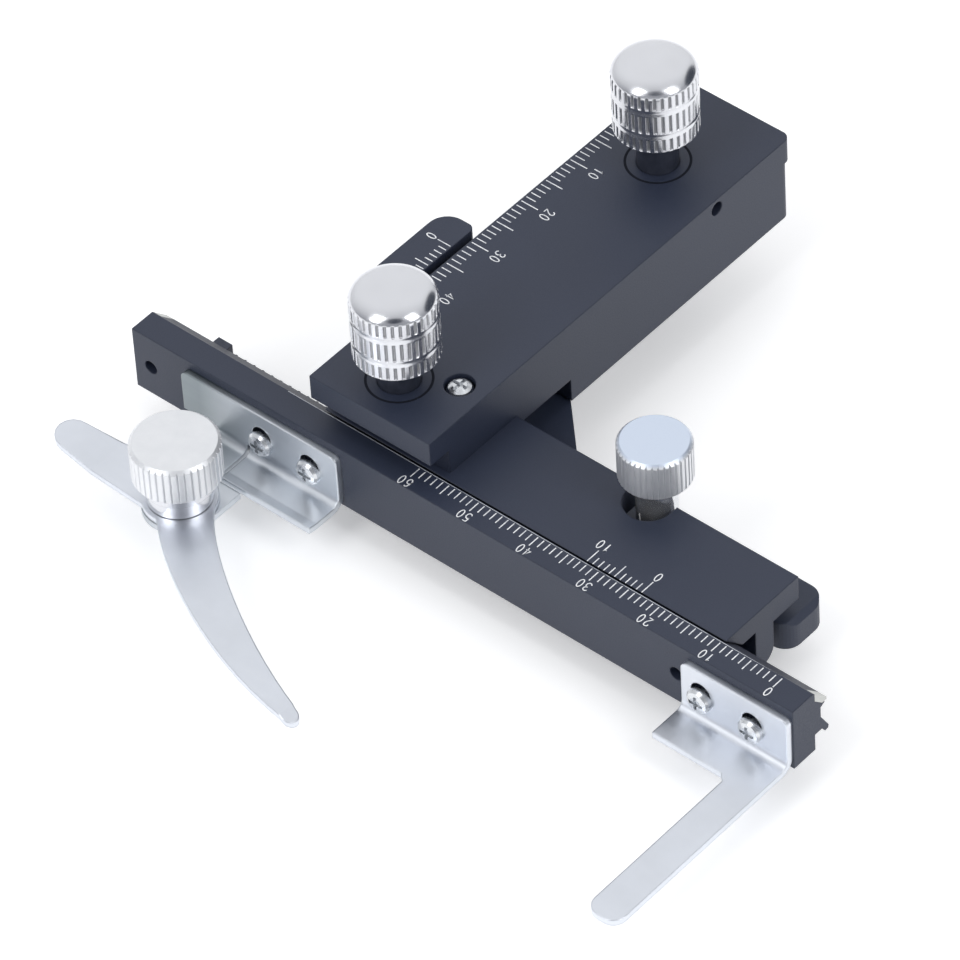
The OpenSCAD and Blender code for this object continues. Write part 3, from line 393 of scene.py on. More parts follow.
def relief(tree, edge_radius, pattern, strength, depth, samples=4):
    """Normals that round the edges by a radius, with a pattern of fine bumps over them."""
    edge = add(tree, "ShaderNodeBevel", {"Radius": edge_radius}, samples=samples).outputs["Normal"]
    bumps = {"Strength": strength, "Distance": depth, "Height": pattern, "Normal": edge}
    return add(tree, "ShaderNodeBump", bumps).outputs["Normal"]


def shade(colour, factor):
    return tuple(min(1.0, c * factor) for c in colour)


def anodised_aluminium():
    """Black anodised, bead-blasted aluminium: a matt slate with a fine sparkle-free grain, a little
    paler along its machined edges, where the light catches the rounding."""
    made, tree, shader = new_material("anodised_aluminium")
    if tree:
        f = settings().finish
        cloud = grain(tree, 14 * MM, 4.0, 0.55)
        blast = grain(tree, f.blast_grain, 2.0, 0.6)
        look = {
            "Base Color": blend(tree, cloud, 0, 1, shade(f.anodised, 0.9), shade(f.anodised, 1.1)),
            "Roughness": uneven(tree, blast, 0.42, 0.56),
            "Normal": relief(tree, f.edge_round, blast, 0.35, 0.02 * MM),
        }
        connect(tree, shader, look)
    return made


def polished_nickel(name, centre):
    """Turned brass plated with bright nickel: mirror-like, with the lathe's fine rings round its axis.
    Polishing never reaches the bottom of the flutes, so they stay dull; their darker colour is painted
    shade."""
    made, tree, shader = new_material(name)
    if tree:
        f = settings().finish
        place = add(tree, "ShaderNodeTexCoord").outputs["Object"]
        from_axis = {"Vector": place, "Location": (-centre[0], -centre[1], 0)}
        moved = add(tree, "ShaderNodeMapping", from_axis).outputs["Vector"]
        # Lathe rings 0.12 mm apart, drawn coarser than real ones so that they show
        rings = {"Vector": moved, "Scale": 1 / (0.12 * MM) / math.tau, "Distortion": 0.4, "Detail": 1.0}
        lathe = add(tree, "ShaderNodeTexWave", rings, wave_type="RINGS", rings_direction="Z")
        haze = grain(tree, 3.5 * MM, 2.0, 0.5)
        tone = blend(tree, haze, 0, 1, shade(f.nickel, 0.95), shade(f.nickel, 1.04))
        flute = add(tree, "ShaderNodeAttribute", attribute_name="flute").outputs["Fac"]
        bottom = add(tree, "ShaderNodeMapRange", {"Value": flute, "From Min": 0.25, "From Max": 0.8})
        # At the bottom of a flute the roughness is 0.25 more than on the polished land
        dulled = {0: bottom.outputs["Result"], 1: 0.25, 2: uneven(tree, haze, 0.17, 0.24)}
        look = {
            # Painted shade: the base colour darkens with a flute's depth, for the shade and dark
            # reflections in it
            "Base Color": blend(tree, flute, 0.25, 0.8, tone, shade(f.nickel, 0.55)),
            "Metallic": 1.0,
            "Roughness": add(tree, "ShaderNodeMath", dulled, operation="MULTIPLY_ADD").outputs[0],
            "Normal": relief(tree, 0.12 * MM, lathe.outputs["Fac"], 0.06, 0.01 * MM),
        }
        connect(tree, shader, look)
    return made


def satin_aluminium(name="satin_aluminium", head=None):
    """Tumbled, clear anodised aluminium: almost white, soft wide highlights and no mirror image. With
    head, the heights in metres of the foot and top of a screw's head, the top face is bluer than the
    rest, and below the head the metal is bright turned, like a mirror."""
    made, tree, shader = new_material(name)
    if tree:
        haze = grain(tree, 3 * MM, 4.0, 0.6)
        fine = grain(tree, 0.15 * MM, 2.0, 0.6)
        tone = blend(tree, haze, 0, 1, linear("#dfe1e4"), linear("#f1f2f4"))
        rough = uneven(tree, fine, 0.36, 0.5)
        if head is not None:
            foot, top = head
            height = distance_along(tree, "Z")
            tone = blend(tree, height, top - 0.5 * MM, top - 0.1 * MM, tone, linear("#d6e0ef"))
            below = {"Value": height, "From Min": foot - 0.1 * MM, "From Max": foot, "To Min": 0.25}
            share = add(tree, "ShaderNodeMapRange", below).outputs["Result"]
            rough = add(tree, "ShaderNodeMath", {0: rough, 1: share}, operation="MULTIPLY").outputs[0]
        look = {
            "Base Color": tone,
            "Metallic": 0.85,
            "Roughness": rough,
            "Normal": relief(tree, 0.15 * MM, fine, 0.25, 0.01 * MM),
        }
        connect(tree, shader, look)
    return made


def zinc_sheet(name="zinc_sheet", painted_reflection_from=None):
    """Rolled steel sheet with bright zinc: soft mirror with faint rolling streaks and cloudy patches.
    With its last argument, the part's left end in metres, the colour grows darker and greener towards that
    end: a painted reflection of the darker parts that the plate mirrors there."""
    made, tree, shader = new_material(name)
    if tree:
        f = settings().finish
        cloud = grain(tree, 6 * MM, 3.0, 0.5)
        streak = grain(tree, 1.2 * MM, 1.0, 0.4, (0.15, 1, 1))
        tone = blend(tree, cloud, 0, 1, shade(f.zinc, 0.88), shade(f.zinc, 1.06))
        if painted_reflection_from is not None:
            # Painted reflection: darker and greener towards the left end, where the plate mirrors darker
            # parts
            start, end = painted_reflection_from + 3 * MM, painted_reflection_from + 13 * MM
            dark_reflection_tint = blend(tree, distance_along(tree, "X"), start, end, linear("#a5abaa"), linear("#fafbfa"))
            tint = {MIX_FACTOR: 1.0, MIX_A: tone, MIX_B: dark_reflection_tint}
            tinted = add(tree, "ShaderNodeMix", tint, data_type="RGBA", blend_type="MULTIPLY")
            tone = tinted.outputs[MIX_RESULT]
        both = add(tree, "ShaderNodeMath", {0: cloud, 1: streak}, operation="ADD").outputs[0]
        rough = {"Value": both, "From Min": 0.7, "From Max": 1.3, "To Min": 0.31, "To Max": 0.42}
        look = {
            "Base Color": tone,
            "Metallic": 1.0,
            "Roughness": add(tree, "ShaderNodeMapRange", rough).outputs["Result"],
            "Normal": relief(tree, 0.35 * MM, cloud, 0.1, 0.03 * MM, samples=6),
        }
        connect(tree, shader, look)
    return made


def plated_screw():
    """Steel screws with thin nickel: bright, with the marks of tumbling."""
    made, tree, shader = new_material("plated_screw")
    if tree:
        haze = grain(tree, 0.9 * MM, 2.0, 0.5)
        look = {
            "Base Color": blend(tree, haze, 0, 1, linear("#d2d5d9"), linear("#e6e8ea")),
            "Metallic": 1.0,
            "Roughness": uneven(tree, haze, 0.24, 0.32),
        }
        connect(tree, shader, look)
    return made


def ground_steel():
    """Ground bright steel: fine straight scratches along the part."""
    made, tree, shader = new_material("ground_steel")
    if tree:
        streak = grain(tree, 0.25 * MM, 3.0, 0.65, (0.05, 1, 1))
        look = {
            "Base Color": blend(tree, streak, 0, 1, linear("#bfc3c7"), linear("#e6e8ea")),
            "Metallic": 1.0,
            "Roughness": uneven(tree, streak, 0.22, 0.4),
        }
        connect(tree, shader, look)
    return made


def dark_steel():
    """Blackened steel of the racks and shafts: oily dark grey, with paler rubbed spots."""
    made, tree, shader = new_material("dark_steel")
    if tree:
        haze = grain(tree, 1.2 * MM, 4.0, 0.6)
        look = {
            "Base Color": blend(tree, haze, 0, 1, linear("#2b2f3a"), linear("#494e5d")),
            "Metallic": 0.4,
            "Roughness": uneven(tree, haze, 0.3, 0.45),
            "Normal": add(tree, "ShaderNodeBevel", {"Radius": 0.1 * MM}, samples=4).outputs["Normal"],
        }
        connect(tree, shader, look)
    return made


def blackened_strip(low, high):
    """Spring steel strip with 1.3 mm of bare metal at each end. Between the ends its colour is a dark,
    barely shiny painted reflection of the dark parts that the strip mirrors.
    """
    made, tree, shader = new_material("blackened_strip")
    if tree:
        half = (high.x - low.x) / 2
        from_middle = {0: distance_along(tree, "X"), 1: (low.x + high.x) / 2}
        offset = add(tree, "ShaderNodeMath", from_middle, operation="SUBTRACT").outputs[0]
        away = add(tree, "ShaderNodeMath", {0: offset}, operation="ABSOLUTE").outputs[0]
        ends = {"Value": away, "From Min": half - 1.4 * MM, "From Max": half - 1.2 * MM}
        bare = add(tree, "ShaderNodeMapRange", ends).outputs["Result"]
        streak = grain(tree, 0.25 * MM, 3.0, 0.65, (0.05, 1, 1))
        # Painted reflection: this dark tone between the ends stands for the dark parts the polished strip
        # mirrors
        black = blend(tree, streak, 0, 1, linear("#333640"), linear("#484b56"))
        look = {
            "Base Color": blend(tree, bare, 0, 1, black, linear("#c4c5c2")),
            "Metallic": bare,
            "Roughness": uneven(tree, streak, 0.4, 0.55),
            "Specular IOR Level": 0.12,
        }
        connect(tree, shader, look)
    return made


def worn_aluminium():
    """Bare aluminium where the anodising has rubbed off an edge, lighter still as a painted highlight of
    the edge's glint: a thin broken bright line.
    """
    made, tree, shader = new_material("worn_aluminium")
    if tree:
        patch = grain(tree, 2.5 * MM, 3.0, 0.6)
        tone = blend(tree, patch, 0.3, 0.5, settings().finish.anodised, linear("#c6c9cf"))
        connect(tree, shader, {"Base Color": tone, "Roughness": 0.35})
    return made


def deep_shadow():
    """Painted shade in the gap round a pressed bush: matt and almost black."""
    made, tree, shader = new_material("deep_shadow")
    if tree:
        tone = blend(tree, grain(tree, 0.5 * MM), 0, 1, linear("#141720"), linear("#20232c"))
        connect(tree, shader, {"Base Color": tone, "Roughness": 0.8, "Specular IOR Level": 0.1})
    return made


def engraving_paint():
    """White enamel wiped into the engraved lines: matt, slightly uneven."""
    made, tree, shader = new_material("engraving_paint")
    if tree:
        patch = grain(tree, 0.8 * MM, 3.0, 0.6)
        tone = blend(tree, patch, 0.3, 0.6, linear("#c9ccd2"), linear("#f6f7f8"))
        connect(tree, shader, {"Base Color": tone, "Roughness": 0.55})
    return made


def white_card():
    """Matt white card of the studio's floor. It glows a little, but only to the camera and in what
    mirrors it, so that it shows white and still keeps the object's shadow."""
    card = bpy.data.materials.new("white_card")
    card.use_nodes = True
    tree = card.node_tree
    tree.nodes.clear()
    paper = add(tree, "ShaderNodeBsdfDiffuse", {"Color": (*linear("#f7f7f7"), 1.0)}).outputs[0]
    glow = add(tree, "ShaderNodeEmission", {"Color": (*linear("#ffffff"), 1.0), "Strength": 0.3})
    both = add(tree, "ShaderNodeAddShader", {0: paper, 1: glow.outputs[0]}).outputs[0]
    rays = add(tree, "ShaderNodeLightPath").outputs
    seen = rays["Is Camera Ray"]
    for kind in ("Is Glossy Ray", "Is Transmission Ray"):
        seen = add(tree, "ShaderNodeMath", {0: seen, 1: rays[kind]}, operation="MAXIMUM").outputs[0]
    mix = add(tree, "ShaderNodeMixShader", {0: seen, 1: paper, 2: both})
    add(tree, "ShaderNodeOutputMaterial", {"Surface": mix.outputs[0]})
    return card


def show_material(obj, material):
    obj.data.materials.clear()
    obj.data.materials.append(material)


# Geometry Nodes


def node_group(name, inputs):
    """The Geometry Nodes tree of a name, and the sockets of its inputs where it is still to be built."""
    tree = bpy.data.node_groups.get(name)
    if tree:
        return tree, None
    tree = bpy.data.node_groups.new(name, "GeometryNodeTree")
    face = tree.interface
    face.new_socket("Geometry", in_out="INPUT", socket_type="NodeSocketGeometry")
    for label, value in inputs.items():
        kind = "NodeSocketInt" if isinstance(value, int) else "NodeSocketFloat"
        face.new_socket(label, in_out="INPUT", socket_type=kind).default_value = value
    face.new_socket("Material", in_out="INPUT", socket_type="NodeSocketMaterial")
    face.new_socket("Geometry", in_out="OUTPUT", socket_type="NodeSocketGeometry")
    return tree, add(tree, "NodeGroupInput").outputs


def close_group(tree, geometry, material, join=None):
    """Ends a tree with real geometry in its material, joined within a distance and smooth if one is
    given."""
    real = add(tree, "GeometryNodeRealizeInstances", {"Geometry": geometry}).outputs[0]
    if join is not None:
        joined = add(tree, "GeometryNodeMergeByDistance", {"Geometry": real, "Distance": join})
        real = add(tree, "GeometryNodeSetShadeSmooth", {"Geometry": joined.outputs[0]}).outputs[0]
    painted = add(tree, "GeometryNodeSetMaterial", {"Geometry": real, "Material": material})
    add(tree, "NodeGroupOutput", {"Geometry": painted.outputs[0]})


# Divisions of a scale between two long lines
LONG_EVERY = 5.0
# Points closer than this are joined where the sectors of a turned piece meet
JOIN_WITHIN = 0.001 * MM


def tick_tree():
    """Flat lines in a row, some of them longer. X runs along the scale."""
    sizes = {
        "Divisions": 10,
        "Spacing": 1 * MM,
        "Short line": 1 * MM,
        "Long line": 2 * MM,
        "Line width": 0.15 * MM,
    }
    tree, given = node_group("scale_ticks", sizes)
    if given is None:
        return tree
    count = add(tree, "ShaderNodeMath", {0: given["Divisions"], 1: 1.0}, operation="ADD")
    offset = add(tree, "ShaderNodeCombineXYZ", {"X": given["Spacing"]})
    row = add(tree, "GeometryNodeMeshLine", {"Count": count.outputs[0], "Offset": offset.outputs[0]})
    index = add(tree, "GeometryNodeInputIndex").outputs[0]
    fifth = add(tree, "ShaderNodeMath", {0: index, 1: LONG_EVERY}, operation="MODULO").outputs[0]
    short = add(tree, "ShaderNodeMath", {0: fifth, 1: 0.5}, operation="GREATER_THAN").outputs[0]
    ends = {"Value": short, "To Min": given["Long line"], "To Max": given["Short line"]}
    length = add(tree, "ShaderNodeMapRange", ends).outputs["Result"]
    size = add(tree, "ShaderNodeCombineXYZ", {"X": given["Line width"], "Y": length, "Z": 1.0})
    flat = {"Size X": 1.0, "Size Y": 1.0, "Vertices X": 2, "Vertices Y": 2}
    square = add(tree, "GeometryNodeMeshGrid", flat).outputs["Mesh"]
    standing = {"Geometry": square, "Translation": (0.0, 0.5, 0.0)}
    line = add(tree, "GeometryNodeTransform", standing).outputs["Geometry"]
    copies = {"Points": row.outputs["Mesh"], "Instance": line, "Scale": size.outputs[0]}
    lines = add(tree, "GeometryNodeInstanceOnPoints", copies)
    close_group(tree, lines.outputs["Instances"], given["Material"])
    return tree


def thread_tree():
    """One ridge that winds down a screw's end."""
    sizes = {"Turns": 6.0, "Length": 5 * MM, "Radius": 2.3 * MM, "Ridge": 0.25 * MM}
    tree, given = node_group("screw_thread", sizes)
    if given is None:
        return tree
    winding = {
        "Resolution": 28,
        "Rotations": given["Turns"],
        "Start Radius": given["Radius"],
        "End Radius": given["Radius"],
        "Height": given["Length"],
    }
    spiral = add(tree, "GeometryNodeCurveSpiral", winding).outputs[0]
    profile = add(tree, "GeometryNodeCurvePrimitiveCircle", {"Resolution": 4, "Radius": given["Ridge"]})
    swept = {"Curve": spiral, "Profile Curve": profile.outputs[0], "Fill Caps": True}
    ridge = add(tree, "GeometryNodeCurveToMesh", swept)
    close_group(tree, ridge.outputs["Mesh"], given["Material"])
    return tree


def ring_tree():
    """One sector of a turned piece, copied round the Z axis and joined up."""
    tree, given = node_group("ring_of_sectors", {"Copies": 12, "Join distance": JOIN_WITHIN})
    if given is None:
        return tree
    dots = add(tree, "GeometryNodePoints", {"Count": given["Copies"]}).outputs[0]
    index = add(tree, "GeometryNodeInputIndex").outputs[0]
    step = add(tree, "ShaderNodeMath", {0: math.tau, 1: given["Copies"]}, operation="DIVIDE")
    angle = add(tree, "ShaderNodeMath", {0: index, 1: step.outputs[0]}, operation="MULTIPLY")
    euler = add(tree, "ShaderNodeCombineXYZ", {"Z": angle.outputs[0]})
    turn = add(tree, "FunctionNodeEulerToRotation", {"Euler": euler.outputs[0]}).outputs[0]
    copies = {"Points": dots, "Instance": given["Geometry"], "Rotation": turn}
    round_axis = add(tree, "GeometryNodeInstanceOnPoints", copies)
    close_group(tree, round_axis.outputs["Instances"], given["Material"], given["Join distance"])
    return tree


def from_nodes(name, tree, inputs, start=None):
    """Runs a node tree on a mesh, empty if none is given, and keeps the result as a plain mesh object."""
    seed = bpy.data.objects.new(name, start or bpy.data.meshes.new(name))
    bpy.context.scene.collection.objects.link(seed)
    modifier = seed.modifiers.new("shape", "NODES")
    modifier.node_group = tree
    for item in tree.interface.items_tree:
        if item.item_type == "SOCKET" and item.in_out == "INPUT" and item.name in inputs:
            modifier[item.identifier] = inputs[item.name]
    graph = bpy.context.evaluated_depsgraph_get()
    mesh = bpy.data.meshes.new_from_object(seed.evaluated_get(graph), depsgraph=graph)
    seed.modifiers.clear()
    seed.data = mesh
    mesh.name = name
    return seed


# Meshes


def flat_piece(name, verts, faces, material):
    """A mesh object that is given by its corners."""
    mesh = bpy.data.meshes.new(name)
    mesh.from_pydata(verts, [], faces)
    piece = bpy.data.objects.new(name, mesh)
    bpy.context.scene.collection.objects.link(piece)
    show_material(piece, material)
    return piece


def flat_ring(name, centre, inner, outer, material):
    """A thin flat ring that faces up."""
    count = 72
    verts, faces = [], []
    for i in range(count):
        a = math.tau * i / count
        for r in (inner, outer):
            verts.append((centre[0] + r * math.cos(a), centre[1] + r * math.sin(a), centre[2]))
        j = (i + 1) % count
        faces.append((2 * i, 2 * i + 1, 2 * j + 1, 2 * j))
    return flat_piece(name, verts, faces, material)


# Strokes of the engraved digits in a box of 1 by 1: lines through points, which start anew at a sharp
# corner, and rings given by their middle and half widths
DIGITS = {
    "0": [("ring", 0.5, 0.5, 0.36, 0.5)],
    "1": [("line", (0.28, 0.76), (0.55, 1.0), (0.55, 0.0))],
    "2": [
        ("line", (0.14, 0.75), (0.22, 0.93), (0.5, 1.0), (0.78, 0.93), (0.86, 0.72), (0.7, 0.45),
         (0.14, 0.0)),
        ("line", (0.14, 0.0), (0.88, 0.0)),
    ],
    "3": [
        ("line", (0.14, 0.85), (0.32, 0.98), (0.6, 1.0), (0.82, 0.88), (0.82, 0.68), (0.62, 0.54),
         (0.42, 0.53)),
        ("line", (0.62, 0.54), (0.86, 0.4), (0.86, 0.17), (0.64, 0.01), (0.34, 0.01), (0.12, 0.14)),
    ],
    "4": [("line", (0.68, 0.0), (0.68, 1.0), (0.1, 0.3), (0.92, 0.3))],
    "5": [
        ("line", (0.82, 1.0), (0.24, 1.0), (0.17, 0.54)),
        ("line", (0.17, 0.54), (0.4, 0.64), (0.68, 0.6), (0.86, 0.42), (0.84, 0.18), (0.62, 0.01),
         (0.3, 0.01), (0.12, 0.15)),
    ],
    "6": [
        ("line", (0.78, 0.9), (0.56, 1.0), (0.32, 0.9), (0.17, 0.6), (0.15, 0.3)),
        ("ring", 0.5, 0.3, 0.35, 0.3),
    ],
    "7": [("line", (0.12, 1.0), (0.88, 1.0), (0.4, 0.0))],
    "8": [("ring", 0.5, 0.76, 0.3, 0.24), ("ring", 0.5, 0.27, 0.36, 0.27)],
    "9": [
        ("line", (0.22, 0.1), (0.44, 0.0), (0.68, 0.1), (0.83, 0.4), (0.85, 0.7)),
        ("ring", 0.5, 0.7, 0.35, 0.3),
    ],
}
RING_POINTS = 20
# Width of a digit and distance to the next one, as shares of its height
DIGIT_WIDTH = 0.6
DIGIT_STEP = 0.78
# A ribbon's side grows at a bend, to keep its width, by no more than one over this
SHARPEST_BEND = 0.7


def stroke(points, closed, width, verts, faces):
    """A flat ribbon along a line of points."""
    total = len(points)
    start = len(verts)
    for i, p in enumerate(points):
        before = points[(i - 1) % total] if closed or i else p
        after = points[(i + 1) % total] if closed or i < total - 1 else p
        way = (after - before).normalized()
        side = Vector((-way.y, way.x)) * width / 2
        into, out = (p - before), (after - p)
        if into.length > 0 and out.length > 0:
            bend = into.normalized().dot(out.normalized())
            side *= 1 / max(SHARPEST_BEND, math.sqrt(max(0.0, (1 + bend) / 2)))
        verts += [(p.x + side.x, p.y + side.y, 0), (p.x - side.x, p.y - side.y, 0)]
    for i in range(total if closed else total - 1):
        a, b = start + 2 * i, start + 2 * ((i + 1) % total)
        faces.append((a, a + 1, b + 1, b))


def add_number(text, centre, height, width, verts, faces):
    """A number in single-stroke digits, centred on a point of the scale's own plane."""
    wide, step = height * DIGIT_WIDTH, height * DIGIT_STEP
    left = centre[0] - (step * (len(text) - 1) + wide) / 2
    low = centre[1] - height / 2
    for k, digit in enumerate(text):
        for kind, *given in DIGITS[digit]:
            points = [Vector(p) for p in given] if kind == "line" else []
            if kind == "ring":
                x, y, rx, ry = given
                turns = [math.tau * i / RING_POINTS for i in range(RING_POINTS)]
                points = [Vector((x + rx * math.cos(a), y + ry * math.sin(a))) for a in turns]
            real = [Vector((left + k * step + p.x * wide, low + p.y * height)) for p in points]
            stroke(real, kind == "ring", width, verts, faces)


def engrave(name, node, body, zero, along, short, long, numbers_at, divisions, step, number_every):
    """Lines and numbers of one scale as one flat piece on top of a node. Zero is the place of its
    first line, on the edge from which the lines' lengths and the numbers' distance are measured."""
    s = settings().scale
    paint = engraving_paint()
    sizes = {
        "Divisions": divisions,
        "Spacing": step,
        "Short line": short,
        "Long line": long,
        "Line width": s.line_width,
        "Material": paint,
    }
    piece = from_nodes(name, tick_tree(), sizes)
    verts = [tuple(v.co) for v in piece.data.vertices]
    faces = [tuple(p.vertices) for p in piece.data.polygons]
    for value in range(0, divisions + 1, number_every):
        add_number(str(value), (value * step, numbers_at), s.digit_height, s.line_width, verts, faces)
    mesh = bpy.data.meshes.new(name)
    mesh.from_pydata(verts, [], faces)
    x, z = Vector(along), Vector((0, 0, 1))
    turned = Matrix((x, z.cross(x), z)).transposed().to_4x4()
    mesh.transform(Matrix.Translation((*zero, top_of(node).z + s.proud)) @ turned)
    mesh.update()
    for face in mesh.polygons:
        if face.normal.z < 0:
            face.flip()
    piece.data = mesh
    show_material(piece, paint)
    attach(piece, body)


# Heights on a stage knob between which each band of flutes runs, and of the rings between the bands
FLUTE_BANDS = ((0.32 * MM, 2.4 * MM), (3.5 * MM, 6.45 * MM), (7.65 * MM, 9.7 * MM))
RING_HEIGHTS = tuple((low + high) / 2 for (_, low), (high, _) in zip(FLUTE_BANDS, FLUTE_BANDS[1:]))
# Roundings of a stage knob: its lower edge, a flute's end, and half the width of a ring
FOOT_ROUND = 0.35 * MM
FLUTE_END = 0.22 * MM
RING_HALF = 0.5 * MM
# How flat the knob's dome is in the middle: 2 would be an ellipse
DOME_POWER = 2.2
# Steps up the foot, half a ring and the dome, and places of the rows of points in a flute's end
FOOT_STEPS = 5
RING_STEPS = 3
DOME_STEPS = 34
END_SHARES = (0.0, 0.06, 0.2, 0.45, 0.75, 1.0)
# Places of the points across half a flute and just past its edge
FLUTE_SHARES = (0.0, 0.5, 0.8, 0.95, 1.0, 1.06)


def band_share(height):
    """How deep a flute is at a height: 0 outside the bands, 1 past its rounded ends."""
    for start, end in FLUTE_BANDS:
        if start < height < end:
            inside = min(1.0, min(height - start, end - height) / FLUTE_END)
            return math.sqrt(1 - (1 - inside) ** 2)
    return 0.0


def side_radius(height, radius, ring):
    """Radius of a knob's side below its dome: rounded foot, and a shallow ring between two bands."""
    if height < FOOT_ROUND:
        return radius - FOOT_ROUND + math.sqrt(FOOT_ROUND**2 - (FOOT_ROUND - height) ** 2)
    for middle in RING_HEIGHTS:
        away = abs(height - middle) / RING_HALF
        if away < 1:
            return radius - ring * (1 - away**2) ** 2
    return radius


def knob_rows(radius, height):
    """(radius, height) up a knob's outline, from the middle of its foot to the middle of its top."""
    k = settings().knob
    shoulder = height - k.dome
    heights = [FOOT_ROUND * i / FOOT_STEPS for i in range(FOOT_STEPS + 1)]
    for start, end in FLUTE_BANDS:
        for share in END_SHARES:
            heights += [start + share * FLUTE_END, end - share * FLUTE_END]
    for middle in RING_HEIGHTS:
        heights += [middle + RING_HALF * i / RING_STEPS for i in range(-RING_STEPS, RING_STEPS + 1)]
    # Heights within a tenth of a micrometre are one row
    heights = sorted(h for h in set(round(h, 7) for h in heights) if h < shoulder)
    # The foot's flat has a row half way out, and one just inside the rounding
    rows = [(0.0, 0.0), (radius / 2, 0.0), (radius - FOOT_ROUND * 1.3, 0.0)]
    rows += [(side_radius(h, radius, k.ring_depth), h) for h in heights]
    for i in range(DOME_STEPS + 1):
        t = math.pi / 2 * i / DOME_STEPS
        out = max(0.0, math.cos(t)) ** (2 / DOME_POWER)
        rows.append((radius * out, shoulder + k.dome * math.sin(t)))
    return rows


def knob_sector(radius, height):
    """Mesh of one flute and half of the land on either side of it, with the knob's axis on Z."""
    k = settings().knob
    half = math.pi / k.flutes
    flute = k.flute_width / 2 / radius
    angles = [flute * share for share in FLUTE_SHARES] + [(flute + half) / 2, half]
    angles = [-a for a in reversed(angles[1:])] + angles
    rows = knob_rows(radius, height)
    verts, depths = [], []
    for r, h in rows:
        deep = min(k.flute_depth * band_share(h), max(0.0, r - radius + k.flute_depth))
        for a in angles:
            cut = deep * math.sqrt(max(0.0, 1 - (a / flute) ** 2))
            verts.append(((r - cut) * math.cos(a), (r - cut) * math.sin(a), h))
            depths.append(cut / k.flute_depth)
    wide = len(angles)
    faces = [
        (i * wide + j, i * wide + j + 1, (i + 1) * wide + j + 1, (i + 1) * wide + j)
        for i in range(len(rows) - 1)
        for j in range(wide - 1)
    ]
    mesh = bpy.data.meshes.new("knob_sector")
    mesh.from_pydata(verts, [], faces)
    mesh.attributes.new("flute", "FLOAT", "POINT").data.foreach_set("value", depths)
    return mesh


# Studio


def pale_tent():
    """World of a pale tent, brightest behind the stage and dimmer round the camera."""
    world = bpy.data.worlds.new("pale_room")
    world.use_nodes = True
    tree = world.node_tree
    tree.nodes.clear()
    place = add(tree, "ShaderNodeTexCoord").outputs["Generated"]
    colour = linear(TENT_DIM)
    for direction, low, high, code in TENT_WALLS:
        toward = add(tree, "ShaderNodeVectorMath", {0: place, 1: direction}, operation="DOT_PRODUCT")
        colour = blend(tree, toward.outputs["Value"], low, high, colour, linear(code))
    room = add(tree, "ShaderNodeBackground", {"Color": colour, "Strength": 1.0})
    add(tree, "ShaderNodeOutputWorld", {"Surface": room.outputs[0]})
    return world


def softbox(name, place):
    """A large rectangular lamp that faces the object."""
    lamp = bpy.data.lights.new(name, "AREA")
    lamp.shape = "RECTANGLE"
    lamp.size, lamp.size_y = SOFTBOX_SIZE
    lamp.energy = settings().stage.lamp_power
    box = bpy.data.objects.new(name, lamp)
    box.location = place
    box.rotation_mode = "QUATERNION"
    box.rotation_quaternion = (Vector(SOFTBOX_AIM) - Vector(place)).to_track_quat("-Z", "Y")
    bpy.context.scene.collection.objects.link(box)


def photo_camera():
    """The camera, at the photograph's angle and distance."""
    view = bpy.data.cameras.new("photo_camera")
    view.sensor_width = SENSOR_WIDTH
    view.lens = settings().stage.focal_length
    view.clip_start, view.clip_end = CAMERA_CLIP
    camera = bpy.data.objects.new("photo_camera", view)
    bpy.context.scene.collection.objects.link(camera)
    turned = Matrix((CAMERA_RIGHT, CAMERA_UP, CAMERA_BACK)).transposed().to_4x4()
    camera.matrix_world = Matrix.Translation(CAMERA_PLACE) @ turned
    return camera


# Operators

ANODISED = ("base_plate", "y_vernier_arm", "y_carriage", "x_guide", "x_bar", "x_bush", "y_bush")
DARK = ("x_rack", "y_rack", "x_shaft", "y_shaft")
GROUND = ("y_rail", "locating_pins", "pivot_stud", "lever_spring")
SCREWS = (
    "y_rack_screws",
    "rail_screws",
    "arm_screws",
    "guide_screws",
    "side_set_screw",
    "x_rack_screws",
    "bracket_screws",
)


class STAGE_OT_finishes(bpy.types.Operator):
    """Give every part of the frame the finish of its real metal"""

    bl_idname = "stage_looks.finishes"
    bl_label = "Finishes"

    def execute(self, context):
        plan = {name: anodised_aluminium() for name in ANODISED}
        plan.update({name: dark_steel() for name in DARK})
        plan.update({name: zinc_sheet() for name in ("right_bracket", "finger_lever")})
        plan["left_bracket"] = zinc_sheet("zinc_sheet_painted_reflection", low_of("left_bracket").x)
        plan["pivot_knob"] = satin_aluminium()
        top = top_of("thumbscrew").z
        plan["thumbscrew"] = satin_aluminium("thumbscrew_metal", (top - HEAD_HEIGHT, top))
        plan["x_slide_strip"] = blackened_strip(*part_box("x_slide_strip"))
        plan.update({name: ground_steel() for name in GROUND})
        plan.update({name: plated_screw() for name in SCREWS})
        for name in ("x_knob", "y_knob", "pivot_collar"):
            low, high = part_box(name)
            plan[name] = polished_nickel(f"nickel_{name}", (low + high) / 2)
        for name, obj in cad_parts.items():
            show_material(obj, plan[name])
        return {"FINISHED"}


class STAGE_OT_knobs(bpy.types.Operator):
    """Turn the two stage knobs, with their bands of flutes"""

    bl_idname = "stage_looks.knobs"
    bl_label = "Stage knobs"

    def execute(self, context):
        for node, body in (("x_knob", "x_drive"), ("y_knob", "y_drive")):
            low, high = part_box(node)
            centre = (low + high) / 2
            radius, height = (high.x - low.x) / 2, high.z - low.z
            metal = polished_nickel(f"nickel_{node}", centre)
            inputs = {"Copies": settings().knob.flutes, "Join distance": JOIN_WITHIN, "Material": metal}
            piece = from_nodes(f"{node}_turned", ring_tree(), inputs, knob_sector(radius, height))
            piece.data.transform(Matrix.Translation((centre.x, centre.y, low.z)))
            show_material(piece, metal)
            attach(piece, body)
            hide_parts(node)
        return {"FINISHED"}


